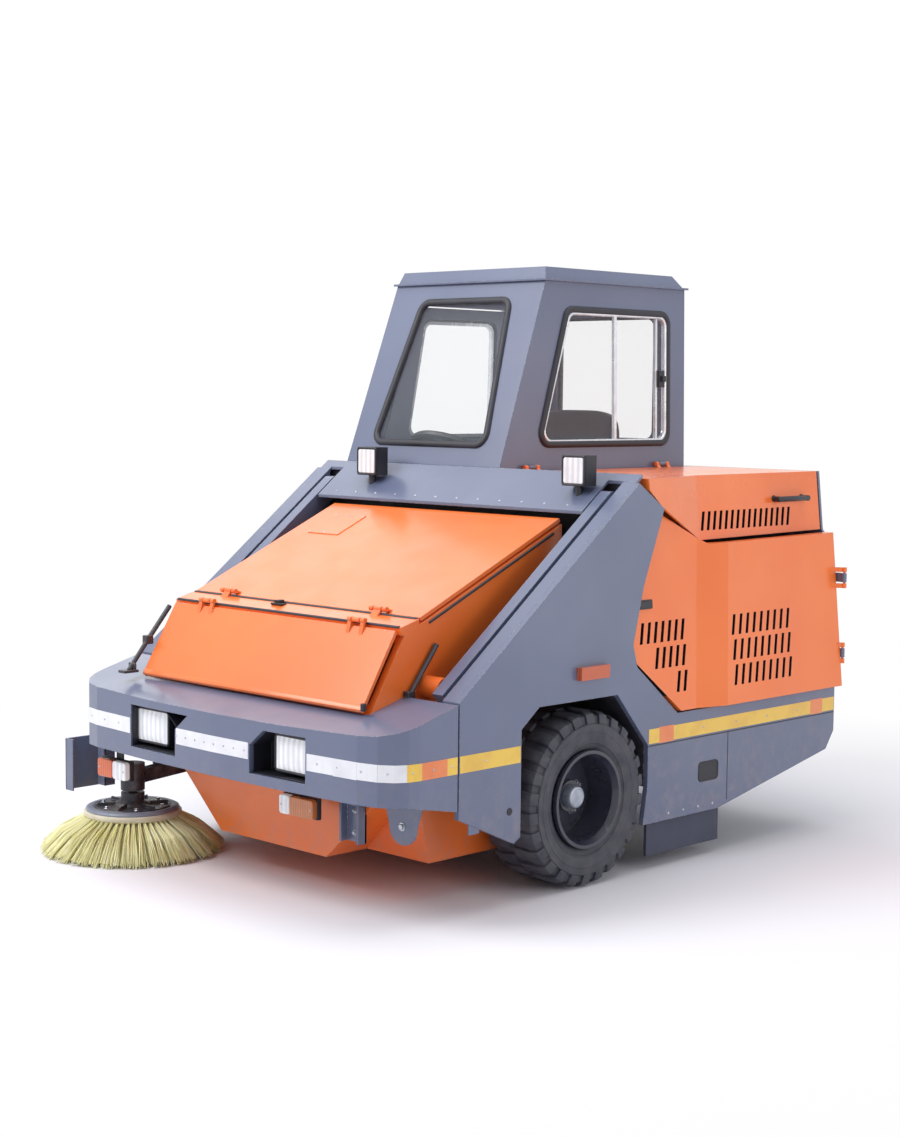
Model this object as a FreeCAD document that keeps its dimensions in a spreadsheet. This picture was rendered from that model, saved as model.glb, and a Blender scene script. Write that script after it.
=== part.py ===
import FreeCAD, Part
import math
import os
import re

import Sketcher

# Compact three-wheel road sweeper with a front hopper that lifts high to tip.
# X points to the machine's left, Y to its rear and Z up. Stations along Y are
# measured from the nose of the bumper, and X from the machine's centre plane.
# Every length is in millimetres.

SIZES = {
    # body
    "half_width": 850,
    "tail_station": 2498,
    "panel_wall": 20,
    "sheet_wall": 12,
    "seat_gap": 0.3,
    "run_gap": 8,
    "overrun": 50,
    # front wheels
    "wheel_station": 996,
    "tyre_radius": 310,
    "tyre_width": 230,
    "rim_radius": 172,
    "lug_height": 16,
    "lug_length": 62,
    "lug_count": 21,
    "bead_share": 0.86,
    "crown_share": 0.78,
    "bulge_share": 0.55,
    "shoulder_share": 0.25,
    "skirt_share": 0.08,
    "barrel_share": 0.8,
    "lug_slant_share": 0.3,
    # rear wheel
    "rear_station": 2000,
    "rear_radius": 225,
    "rear_width": 170,
    "rear_rim_radius": 120,
    "rear_lug_count": 17,
    # wheel arch in the side panel
    "arch_ahead": 354,
    "arch_behind": 320,
    "arch_over": 43,
    "arch_foot_z": 233,
    "arch_shoulder": 88,
    "arch_shoulder_drop": 67,
    "liner_wall": 10,
    # side panel outline
    "panel_station": 345,
    "panel_foot_z": 333,
    "toe_station": 610,
    "toe_z": 215,
    "sill_z": 175,
    "sill_station": 1737,
    "tail_rise_station": 2446,
    "tail_rise_z": 313,
    "tail_low_z": 383,
    "deck_z": 562,
    "slope_station": 366,
    "slope_z": 733,
    "peak_station": 1241,
    "peak_z": 1403,
    "facet_station": 1383,
    "facet_z": 1309,
    "notch_station": 1483,
    "notch_low_station": 1246,
    "notch_low_z": 751,
    "notch_in_station": 1222,
    "notch_in_z": 833,
    "notch_up_station": 1275,
    "notch_up_z": 1040,
    # cowl and arm slots
    "cowl_low_station": 1110,
    "cowl_station": 1280,
    "slot_in": 698,
    "slot_out": 772,
    "slot_top_station": 1248,
    "wing_floor_z": 690,
    # chassis
    "frame_half": 560,
    "frame_beam": 60,
    "frame_z": 500,
    "frame_top_z": 562,
    "frame_station": 900,
    "frame_end_station": 2440,
    "cross_station": 1440,
    "head_station": 1860,
    "head_end_station": 2140,
    "stem_radius": 30,
    "stem_clearance": 0.05,
    # front axle
    "axle_radius": 45,
    "axle_end": 690,
    "axle_flange_radius": 95,
    "axle_flange": 12,
    "spindle_radius": 30,
    "spindle_end": 734,
    "hub_end": 762,
    # rear fork
    "crown_z": 465,
    "crown_top_z": 490,
    "fork_leg": 18,
    "fork_side_gap": 12,
    "fork_half": 50,
    "fork_share": 0.7,
    "fork_pin_radius": 22,
    # cab
    "cab_centre": -294,
    "cab_half": 425,
    "cab_top_half": 410,
    "cab_wall": 25,
    "cab_floor": 20,
    "cab_top_station": 1550,
    "cab_rear_station": 2417,
    "cab_top_z": 2150,
    "windshield_low_z": 1513,
    "windshield_top_z": 2079,
    "windshield_low_half": 312,
    "windshield_top_half": 241,
    "window_corner": 45,
    "side_window_low_z": 1517,
    "side_window_top_z": 2045,
    "side_window_front": 1504,
    "side_window_top_front": 1673,
    "side_window_rear": 2305,
    "rear_window_half": 270,
    "glass_wall": 6,
    "glass_inset": 8,
    # cab door
    "door_front": 1440,
    "door_rear": 2200,
    "door_low_z": 640,
    "door_top_z": 2075,
    "door_gap": 6,
    "door_glass_front": 1600,
    "door_glass_rear": 2133,
    # roof
    "roof_lip": 12,
    "roof_lip_wall": 8,
    "roof_rise": 55,
    "roof_slant": 20,
    # cab fittings
    "seat_station": 1760,
    "seat_half": 230,
    "seat_depth": 430,
    "seat_z": 1030,
    "cushion_wall": 100,
    "back_height": 520,
    "back_wall": 90,
    "steer_across": -350,
    "steer_station": 1535,
    "steer_z": 1479,
    "steer_radius": 180,
    "steer_grip": 14,
    "grip_share": 0.6,
    "column_radius": 28,
    "dash_half": 300,
    # engine side
    "hood_top_z": 1418,
    "hood_side": 750,
    "hood_side_low": 775,
    "hood_low_z": 1187,
    "hood_low_front_z": 1178,
    "hood_fold_station": 1690,
    "hood_rear_station": 2477,
    "hood_wall": 12,
    "engine_in": 230,
    "engine_out": 690,
    "engine_front": 1520,
    "engine_rear": 2300,
    "engine_top_z": 1130,
    "bulge_out": 37,
    "bulge_station": 1577,
    "side_door_wall": 12,
    "corner_post": 60,
    # hopper
    "hopper_half": 600,
    "hopper_wall": 10,
    "door_low_station": 155,
    "front_low_z": 676,
    "strip_station": 312,
    "strip_z": 937,
    "lid_station": 412,
    "lid_z": 967,
    "lid_rear_station": 1106,
    "lid_rear_z": 1272,
    "lid_wall": 14,
    "lean_share": 0.4,
    "seat_share": 1.1,
    "hopper_back_station": 1105,
    "hopper_shelf_z": 650,
    "hopper_low_station": 860,
    "trough_z": 125,
    "trough_station": 470,
    "trough_top_station": 420,
    "nose_station": 280,
    "nose_half": 284,
    "nose_top_half": 520,
    "nose_top_z": 340,
    # lift arms
    "arm_in": 706,
    "arm_out": 754,
    "arm_depth": 70,
    "arm_pivot_station": 1212,
    "arm_tip_station": 430,
    "pin_radius": 20,
    "pin_clearance": 0.05,
    # bumper
    "bumper_end_station": 338,
    "bumper_end_top_z": 710,
    "bumper_end_low_z": 352,
    "bumper_corner_station": 112,
    "bumper_front_top_z": 618,
    "bumper_front_low_z": 404,
    "bumper_wall": 12,
    "shelf_station": 175,
    "lamp_centre": 336,
    "lamp_half": 135,
    "lamp_low_z": 440,
    "lamp_top_z": 592,
    "lens_half": 85,
    "lens_low_z": 465,
    "lens_top_z": 575,
    "lens_station": 45,
    # side brush
    "brush_out": 704,
    "brush_station": 196,
    "brush_radius": 345,
    "brush_ring_radius": 176,
    "brush_ring_z": 150,
    "brush_ring_wall": 22,
    "bristle_floor": 2,
    "brush_arm_z": 270,
    "brush_pivot_station": 600,
    "brush_pivot_z": 300,
    "brush_arm_half": 24,
    "brush_motor_radius": 45,
    # main brush
    "reel_station": 1530,
    "reel_radius": 150,
    "reel_core_radius": 60,
    "reel_half": 520,
    "reel_carrier": 12,
    # work lamps and side lamps
    "work_lamp_left": 618,
    "work_lamp_right": -459,
    "work_lamp_station": 1183,
    "work_lamp_z": 1442,
    "work_lamp_side": 110,
    "work_lamp_depth": 60,
    # shared small sizes
    "knuckle_radius": 9,
    "knuckle_pin": 5,
    "knuckle_half": 18,
    "knuckle_gap": 5,
    "knuckle_leaf": 8,
    "rim_well": 10,
    "rim_wall": 12,
    "disc_wall": 12,
    "hub_radius": 55,
    "brush_pin_radius": 15,
    "boss_radius": 36,
    "arm_beyond": 60,
    "panel_gap": 8,
    "hinge_inset": 20,
    "hinge_side": 400,
    "slot_width": 16,
    "slot_slant": 16,
    "slot_bridge": 18,
    "cab_station": 1286,
    "windshield_centre": -285,
    "door_top_front": 1630,
    "door_knee_z": 1440,
    "door_corner": 30,
    "door_glass_top_z": 2023,
    "door_glass_top_front": 1690,
    "cab_hinge_low_z": 800,
    "cab_hinge_top_z": 1300,
    "pedestal_inset": 60,
    "back_lean": 70,
    "column_length": 170,
    "column_pin": 10,
    "hub_drop": 30,
    "spoke_count": 3,
    "dash_station": 1440,
    "dash_low_z": 1150,
    "dash_top_z": 1440,
    "dash_slant": 40,
    "hood_station": 1292,
    "hood_rows": 1,
    "hood_columns": 16,
    "hood_slot_front": 1700,
    "hood_slot_rear": 2284,
    "hood_slot_low_z": 1213,
    "hood_slot_top_z": 1283,
    "handle_front": 2169,
    "handle_rear": 2367,
    "handle_z": 1316,
    "handle_out": 38,
    "handle_radius": 8,
    "hood_hinge_front": 1450,
    "hood_hinge_rear": 2250,
    "door_face_x": 862,
    "door_lean": 61,
    "door_lean_top_z": 1176,
    "bulge_run": 144,
    "bulge_shift": 61,
    "door_return": 38,
    "facet_drop_share": 1.4,
    "edge_drop_share": 1.2,
    "grille_rows": 3,
    "grille_front_columns": 8,
    "grille_front_station": 1236,
    "grille_front_end": 1548,
    "grille_rear_columns": 9,
    "grille_rear_station": 1770,
    "grille_rear_end": 2160,
    "grille_low_z": 640,
    "grille_top_z": 920,
    "door_hinge_low_z": 700,
    "door_hinge_top_z": 1000,
    "tail_wall": 12,
    "radiator_in": 200,
    "radiator_out": 700,
    "radiator_rows": 10,
    "radiator_low_z": 720,
    "radiator_pitch": 40,
    "radiator_slot": 18,
    "tail_lamp_inset": 40,
    "tail_lamp_width": 90,
    "tail_lamp_low_z": 600,
    "tail_lamp_top_z": 660,
    "tub_station": 178,
    "inlet_half": 500,
    "inlet_top_z": 360,
    "door_half": 586,
    "bumper_side_station": 165,
    "lamp_slant": 70,
    "slant_share": 0.8,
    "lamp_wall": 6,
    "lamp_back_station": 110,
    "blinker_half": 88,
    "blinker_depth": 40,
    "blinker_left": 278,
    "blinker_left_station": 144,
    "blinker_right": -680,
    "blinker_right_station": 80,
    "blinker_low_z": 280,
    "blinker_top_z": 355,
    "bumper_foot_station": 40,
    "brush_motor_low_z": 225,
    "brush_motor_top_z": 325,
    "tine_half": 5,
    "tine_count": 60,
    "tuft_count": 9,
    "tuft_rows": 16,
    "tuft_share": 0.7,
    "marker_out": 22,
    "marker_station": 920,
    "marker_end": 1070,
    "marker_low_z": 735,
    "marker_top_z": 780,
    "skirt_station": 1340,
    "skirt_end": 1767,
    "skirt_low_z": 50,
    "step_rise": 3,
}

ORIGIN_X = "(brush_out + brush_radius - half_width - 2*hinge_inset - knuckle_radius)/2"
ORIGIN_Y = "(brush_radius - brush_station - tail_station)/2"

os.makedirs("parts", exist_ok=True)
doc = FreeCAD.newDocument("Sweeper")
sheet = doc.addObject("Spreadsheet::Sheet", "Sizes")
PIECES = []


def fill_sheet():
    """Write every driving dimension into the sheet, with its alias."""
    for row, (alias, number) in enumerate(SIZES.items(), start=1):
        sheet.set("A%d" % row, alias)
        sheet.set("B%d" % row, str(number))
        sheet.setAlias("B%d" % row, alias)
    doc.recompute()


def cells(words):
    """Turn the size names in an expression into references to the sheet."""
    return re.sub(r"\b[a-z][a-z_]*[a-z]\b(?!\()", r"Sizes.\g<0>", words)


def size(words):
    """The present value of an expression in size names."""
    return float(sheet.evalExpression(cells(words)))


fill_sheet()


def keep(piece, name, at=("0", "0", "0")):
    """Name a finished sub-part and bind its place to the sheet."""
    piece.Label = name
    piece.setExpression("Placement.Base.x", cells("%s + %s" % (ORIGIN_X, at[0])))
    piece.setExpression("Placement.Base.y", cells("%s + %s" % (ORIGIN_Y, at[1])))
    piece.setExpression("Placement.Base.z", cells(at[2]))
    PIECES.append(piece)
    return piece


def origin_plane(body, role):
    """One of a body's own origin planes or axes."""
    for feature in body.Origin.OriginFeatures:
        if feature.Role == role:
            return feature
    raise ValueError(role)


def draw(sketch, outline):
    """Draw one closed outline whose corners are bound to the sheet."""
    first = sketch.GeometryCount
    spots = [FreeCAD.Vector(size(a), size(b), 0) for a, b in outline]
    count = len(spots)
    for k in range(count):
        sketch.addGeometry(Part.LineSegment(spots[k], spots[(k + 1) % count]))
    for k in range(count):
        after = first + (k + 1) % count
        sketch.addConstraint(Sketcher.Constraint("Coincident", first + k, 2, after, 1))
    for k, (across, along) in enumerate(outline):
        for kind, words, value in (("DistanceX", across, spots[k].x), ("DistanceY", along, spots[k].y)):
            rule = sketch.addConstraint(Sketcher.Constraint(kind, -1, 1, first + k, 1, value))
            sketch.setExpression("Constraints[%d]" % rule, cells(words))


def sketch_on(body, role, offset, outlines):
    """A sketch on one of the body's origin planes, moved along its normal."""
    sketch = body.newObject("Sketcher::SketchObject", "Sketch")
    sketch.AttachmentSupport = [(origin_plane(body, role), "")]
    sketch.MapMode = "FlatFace"
    sketch.setExpression("AttachmentOffset.Base.z", cells(offset))
    for outline in outlines:
        draw(sketch, outline)
    return sketch


def pad(body, side, outlines, near, far):
    """Pad outlines drawn on the YZ, XZ or XY plane from near to far."""
    offset = "-(%s)" % far if side == "XZ" else near
    sketch = sketch_on(body, side + "_Plane", offset, outlines)
    feature = body.newObject("PartDesign::Pad", "Pad")
    feature.Profile = sketch
    feature.setExpression("Length", cells("(%s) - (%s)" % (far, near)))
    body.Tip = feature
    return feature


def sheet_piece(name, side, outlines, near, far, at=("0", "0", "0")):
    """A flat piece: outlines padded from near to far."""
    body = doc.addObject("PartDesign::Body", name)
    pad(body, side, outlines, near, far)
    return keep(body, name, at)


def rectangle(left, right, low, high):
    """Four corners of an upright rectangle."""
    return [(left, low), (right, low), (right, high), (left, high)]


def revolve(body, profile):
    """Turn a profile, given as x and radius, about the body's X axis."""
    sketch = sketch_on(body, "XZ_Plane", "0", [profile])
    feature = body.newObject("PartDesign::Revolution", "Revolution")
    feature.Profile = sketch
    feature.ReferenceAxis = (sketch, ["H_Axis"])
    feature.Angle = 360
    body.Tip = feature
    return feature


def spin(body, profile):
    """Turn a profile, given as radius and height, about the body's Z axis."""
    sketch = sketch_on(body, "XZ_Plane", "0", [profile])
    feature = body.newObject("PartDesign::Revolution", "Revolution")
    feature.Profile = sketch
    feature.ReferenceAxis = (sketch, ["V_Axis"])
    feature.Angle = 360
    body.Tip = feature
    return feature


def around(body, features, role, count):
    """Repeat features evenly about one of the body's axes."""
    pattern = body.newObject("PartDesign::PolarPattern", "Pattern")
    pattern.Originals = features
    pattern.Axis = (origin_plane(body, role), [""])
    pattern.Angle = 360
    pattern.setExpression("Occurrences", cells(count))
    body.Tip = pattern
    return pattern


def shaped(name, solid, at=("0", "0", "0")):
    """A sub-part whose faceted form is worked out from the sheet by this script."""
    feature = doc.addObject("Part::Feature", name)
    feature.Shape = solid
    return keep(feature, name, at)


def point(x, y, z):
    """A point from three expressions."""
    return FreeCAD.Vector(size(x), size(y), size(z))


def block(x_low, x_high, y_low, y_high, z_low, z_high):
    """A box between six expressions."""
    low = point(x_low, y_low, z_low)
    high = point(x_high, y_high, z_high)
    span = high - low
    return Part.makeBox(span.x, span.y, span.z, low)


def prism(side, outline, near, far):
    """A solid from an outline on the YZ, XZ or XY plane, from near to far along the third axis."""
    depth = size(far) - size(near)
    if side == "YZ":
        spots = [point(near, a, b) for a, b in outline]
        reach = FreeCAD.Vector(depth, 0, 0)
    elif side == "XZ":
        spots = [point(a, near, b) for a, b in outline]
        reach = FreeCAD.Vector(0, depth, 0)
    else:
        spots = [point(a, b, near) for a, b in outline]
        reach = FreeCAD.Vector(0, 0, depth)
    return Part.Face(Part.makePolygon(spots + spots[:1])).extrude(reach)


def trimmed(solid, spots):
    """Cut away what lies on the far side of the plane through three points."""
    first, second, third = (point(*spot) for spot in spots)
    normal = (second - first).cross(third - first).normalize()
    if (solid.CenterOfMass - first).dot(normal) > 0:
        normal = -normal
    reach = 2*solid.BoundBox.DiagonalLength
    waste = Part.makeBox(reach, reach, reach, FreeCAD.Vector(-reach/2, -reach/2, 0))
    waste.Placement = FreeCAD.Placement(first, FreeCAD.Rotation(FreeCAD.Vector(0, 0, 1), normal))
    return solid.cut(waste)


def level(left, right, low, high, z):
    """Four corners of a level rectangle."""
    return [point(left, low, z), point(right, low, z), point(right, high, z), point(left, high, z)]


def bar(start, end, across, width, thick):
    """A flat bar from one point to another, with its width along a given direction."""
    along = (end - start).normalize()
    third = along.cross(across).normalize()
    corner = start - across*width/2 - third*thick/2
    spots = [corner, corner + across*width, corner + across*width + third*thick, corner + third*thick]
    return Part.Face(Part.makePolygon(spots + spots[:1])).extrude(end - start)


def hinge(frame, leaf, spot, axis, frame_spot, leaf_spot):
    """Give a frame its knuckle, and the leaf its pin and two knuckles, at a point of the hinge line."""
    centre, frame_end, leaf_end = point(*spot), point(*frame_spot), point(*leaf_spot)
    outer, inner = size("knuckle_radius"), size("knuckle_pin")
    half, gap = size("knuckle_half"), size("knuckle_gap")
    sleeve = Part.makeCylinder(outer, 2*half, centre - axis*half, axis)
    sleeve = sleeve.fuse(bar(centre, frame_end, axis, 2*half, size("knuckle_leaf")))
    bore = Part.makeCylinder(inner + size("pin_clearance"), 4*half, centre - axis*half*2, axis)
    frame = frame.fuse(sleeve).cut(bore)
    reach = 2*half + gap
    parts = [Part.makeCylinder(inner, 2*reach, centre - axis*reach, axis)]
    for middle in (centre - axis*(reach - half/2), centre + axis*(reach - half/2)):
        parts.append(Part.makeCylinder(outer, half, middle - axis*half/2, axis))
        shift = middle - centre
        parts.append(bar(middle, leaf_end + shift, axis, half, size("knuckle_leaf")))
    return frame, leaf.multiFuse(parts)


def solid_of(faces):
    """A closed solid from lists of corners, one list to a face."""
    sides = [Part.Face(Part.makePolygon(list(spots) + [spots[0]])) for spots in faces]
    return Part.Solid(Part.makeShell(sides))


def between(low, high):
    """A solid between two outlines with as many corners each."""
    count = len(low)
    faces = [low, high]
    for k in range(count):
        after = (k + 1) % count
        faces.append([low[k], low[after], high[after], high[k]])
    return solid_of(faces)


def rod(x_low, x_high, y, z, radius):
    """A round bar along X."""
    start = point(x_low, y, z)
    return Part.makeCylinder(size(radius), size(x_high) - size(x_low), start, FreeCAD.Vector(1, 0, 0))


def post(x, y, z_low, z_high, radius):
    """A round bar along Z."""
    start = point(x, y, z_low)
    return Part.makeCylinder(size(radius), size(z_high) - size(z_low), start)


def slope_z(station, below="0"):
    """Height of the sloped top line at a station, less a depth."""
    rise = "(peak_z - slope_z)/(peak_station - slope_station)"
    return "slope_z + %s*(%s - slope_station) - (%s)" % (rise, station, below)


ARM_DROP = "arm_depth/2*sqrt(1 + ((peak_z - slope_z)/(peak_station - slope_station))^2)"
PIVOT_Z = slope_z("arm_pivot_station", ARM_DROP)
TIP_Z = slope_z("arm_tip_station", ARM_DROP)

ARCH = [
    ("wheel_station - arch_ahead", "arch_foot_z"),
    ("wheel_station - arch_ahead", "2*tyre_radius + arch_over - arch_shoulder_drop"),
    ("wheel_station - arch_ahead + arch_shoulder", "2*tyre_radius + arch_over"),
    ("wheel_station + arch_behind - 2*arch_shoulder", "2*tyre_radius + arch_over"),
    ("wheel_station + arch_behind", "2*tyre_radius + arch_over - 3*arch_shoulder_drop"),
    ("wheel_station + arch_behind", "tyre_radius"),
    ("wheel_station + arch_behind - arch_shoulder/4", "sill_z"),
]


def side_panels():
    """Grey side sheets: wheel arch, lower box and the sloped edge of the wing."""
    outline = [
        ("panel_station", "panel_foot_z"),
        ("toe_station", "toe_z"),
    ] + ARCH + [
        ("sill_station", "sill_z"),
        ("tail_rise_station", "tail_rise_z"),
        ("tail_station", "tail_low_z"),
        ("tail_station", "deck_z"),
        ("notch_station", "deck_z"),
        ("notch_low_station", "notch_low_z"),
        ("notch_in_station", "notch_in_z"),
        ("notch_up_station", "notch_up_z"),
        ("facet_station", "facet_z"),
        ("peak_station", "peak_z"),
        ("slope_station", "slope_z"),
        ("panel_station", slope_z("panel_station")),
    ]
    sheet_piece("side_panel_left", "YZ", [outline], "half_width - panel_wall", "half_width")
    sheet_piece("side_panel_right", "YZ", [outline], "-half_width", "panel_wall - half_width")


def circle(sketch, across, along, radius):
    """A circle whose centre and radius are bound to the sheet."""
    index = sketch.GeometryCount
    centre = FreeCAD.Vector(size(across), size(along), 0)
    sketch.addGeometry(Part.Circle(centre, FreeCAD.Vector(0, 0, 1), size(radius)))
    rule = sketch.addConstraint(Sketcher.Constraint("Radius", index, size(radius)))
    sketch.setExpression("Constraints[%d]" % rule, cells(radius))
    for kind, words, value in (("DistanceX", across, centre.x), ("DistanceY", along, centre.y)):
        rule = sketch.addConstraint(Sketcher.Constraint(kind, -1, 1, index, 3, value))
        sketch.setExpression("Constraints[%d]" % rule, cells(words))


def add_pin(body, sign):
    """The lift arm's upper pin, standing in from the wing's inner wall."""
    near = "slot_in + 2*pin_clearance"
    far = "slot_out + sheet_wall"
    if sign == "-1":
        near, far = "-(%s)" % far, "-(%s)" % near
    sketch = sketch_on(body, "YZ_Plane", near, [])
    circle(sketch, "arm_pivot_station", PIVOT_Z, "pin_radius")
    feature = body.newObject("PartDesign::Pad", "Pad")
    feature.Profile = sketch
    feature.setExpression("Length", cells("(%s) - (%s)" % (far, near)))
    body.Tip = feature


def wings():
    """Box wings inside the side panels: a sloped top and the wall beside the arm slot."""
    start = "panel_station"
    top = [
        (start, slope_z(start)),
        ("slot_top_station", slope_z("slot_top_station")),
        ("slot_top_station", slope_z("slot_top_station", "sheet_wall")),
        (start, slope_z(start, "sheet_wall")),
    ]
    foot = "slope_station + wing_floor_z - slope_z + 2*sheet_wall"
    wall = [
        (foot, slope_z(foot, "sheet_wall/2")),
        ("peak_station", "peak_z - sheet_wall/2"),
        ("peak_station", "wing_floor_z"),
        (foot, "wing_floor_z"),
    ]
    closing = "arm_pivot_station"
    back = [
        (closing, slope_z(closing, "sheet_wall/2")),
        (closing, "wing_floor_z"),
        (closing + " - sheet_wall", "wing_floor_z"),
        (closing + " - sheet_wall", slope_z(closing, "sheet_wall")),
    ]
    inner = "slot_out"
    outer = "half_width - panel_wall"
    for name, sign in (("wing_left", "1"), ("wing_right", "-1")):
        body = doc.addObject("PartDesign::Body", name)
        if sign == "1":
            pad(body, "YZ", [top], inner, outer)
            pad(body, "YZ", [wall], inner, inner + " + sheet_wall")
            pad(body, "YZ", [back], inner, outer)
        else:
            pad(body, "YZ", [top], "-(%s)" % outer, "-(%s)" % inner)
            pad(body, "YZ", [wall], "-(%s) - sheet_wall" % inner, "-(%s)" % inner)
            pad(body, "YZ", [back], "-(%s)" % outer, "-(%s)" % inner)
        add_pin(body, sign)
        keep(body, name)


def wheel_liners():
    """Wheel housings that follow the arch from the side panel inwards."""
    inner_edge = "half_width - tyre_width - liner_wall"
    outer_edge = "half_width - panel_wall"
    w = "liner_wall"
    ahead = "wheel_station - arch_ahead"
    behind = "wheel_station + arch_behind"
    top = "2*tyre_radius + arch_over"
    shoulder = "2*tyre_radius + arch_over - arch_shoulder_drop"
    outline = [
        (ahead, "panel_foot_z"),
        (ahead, shoulder),
        (ahead + " + arch_shoulder", top),
        (behind + " - 2*arch_shoulder", top),
        (behind, top + " - 3*arch_shoulder_drop"),
        (behind, "tyre_radius"),
        (behind + " + " + w, "tyre_radius"),
        (behind + " + " + w, top + " - 3*arch_shoulder_drop + " + w),
        (behind + " - 2*arch_shoulder", top + " + " + w),
        (ahead + " + arch_shoulder - " + w, top + " + " + w),
        (ahead + " - " + w, shoulder + " + " + w),
        (ahead + " - " + w, "panel_foot_z"),
    ]
    sides = ((inner_edge, outer_edge), ("-(%s)" % outer_edge, "-(%s)" % inner_edge))
    shaped("wheel_liners", Part.makeCompound([prism("YZ", outline, low, high) for low, high in sides]))


def cowl():
    """Sloped grey cowl between the hopper lid and the cab, with the arm slots at its ends."""
    body = doc.addObject("PartDesign::Body", "cowl")
    low = "cowl_low_station"
    high = "cowl_station"
    sheet_outline = [
        (low, slope_z(low, "sheet_wall")),
        (low, slope_z(low)),
        (high, slope_z(high)),
        (high, slope_z(high, "sheet_wall")),
    ]
    pad(body, "YZ", [sheet_outline], "-slot_in", "slot_in")
    cap = [
        ("slot_top_station", slope_z("slot_top_station", "sheet_wall")),
        ("slot_top_station", slope_z("slot_top_station")),
        (high, slope_z(high)),
        (high, slope_z(high, "sheet_wall")),
    ]
    pad(body, "YZ", [cap], "panel_wall - half_width", "half_width - panel_wall")
    keep(body, "cowl")


def bulkhead():
    """Wall between the hopper bay and the cab and engine."""
    right = "panel_wall - half_width"
    left = "slot_in + 3*sheet_wall"
    top = slope_z("cowl_station", "3*sheet_wall")
    outline = rectangle(right, left, "frame_top_z", top)
    sheet_piece("bulkhead", "XZ", [outline], "cowl_station - 3*sheet_wall/2", "cowl_station - sheet_wall/2")


def chassis():
    """Ladder frame with the steering head between its rails."""
    inner = "frame_half - frame_beam"
    outer = rectangle("-frame_half", "frame_half", "frame_station", "frame_end_station")
    bays = (
        ("frame_station + frame_beam", "cross_station"),
        ("cross_station + frame_beam", "head_station"),
        ("head_end_station", "frame_end_station - frame_beam"),
    )
    holes = [rectangle("-(%s)" % inner, inner, low, high) for low, high in bays]
    body = doc.addObject("PartDesign::Body", "chassis_frame")
    base = pad(body, "XY", [outer] + holes, "frame_z", "frame_top_z")
    sketch = sketch_on(body, "XY_Plane", "frame_top_z", [])
    circle(sketch, "0", "rear_station", "stem_radius + stem_clearance")
    hole = body.newObject("PartDesign::Pocket", "Pocket")
    hole.Profile = sketch
    hole.setExpression("Length", cells("frame_top_z - frame_z"))
    body.Tip = hole
    doc.recompute()
    if hole.Shape.Volume >= base.Shape.Volume:
        raise ValueError("the steering head has no bore")
    keep(body, "chassis_frame")


def front_axle():
    """Drive axle tube with its spindles, end flanges and the two pads under the rails."""
    tube = rod("-axle_end", "axle_end", "wheel_station", "tyre_radius", "axle_radius")
    parts = [rod("-spindle_end", "spindle_end", "wheel_station", "tyre_radius", "spindle_radius")]
    for low, high in (("-axle_end", "axle_flange - axle_end"), ("axle_end - axle_flange", "axle_end")):
        parts.append(rod(low, high, "wheel_station", "tyre_radius", "axle_flange_radius"))
    for low, high in (("-frame_half", "frame_beam - frame_half"), ("frame_half - frame_beam", "frame_half")):
        parts.append(block(low, high, "wheel_station - axle_radius", "wheel_station + axle_radius",
                           "tyre_radius", "frame_z"))
    shaped("front_axle", tube.multiFuse(parts).removeSplitter())


def tyre_ring(across, radius, sides):
    """Corners of a many-sided ring about the X axis."""
    spots = []
    for k in range(sides):
        angle = 2*math.pi*(k + 1/2)/sides
        spots.append(FreeCAD.Vector(size(across), size(radius)*math.sin(angle), size(radius)*math.cos(angle)))
    return spots


def carcass_form(profile, sides):
    """A tyre's body as faceted bands between rings, from one bead round to the other."""
    rings = [tyre_ring(across, radius, sides) for across, radius in profile]
    faces = []
    for k, ring in enumerate(rings):
        following = rings[(k + 1) % len(rings)]
        for j in range(len(ring)):
            after = (j + 1) % len(ring)
            faces.append([ring[j], ring[after], following[after], following[j]])
    return solid_of(faces)


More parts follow.
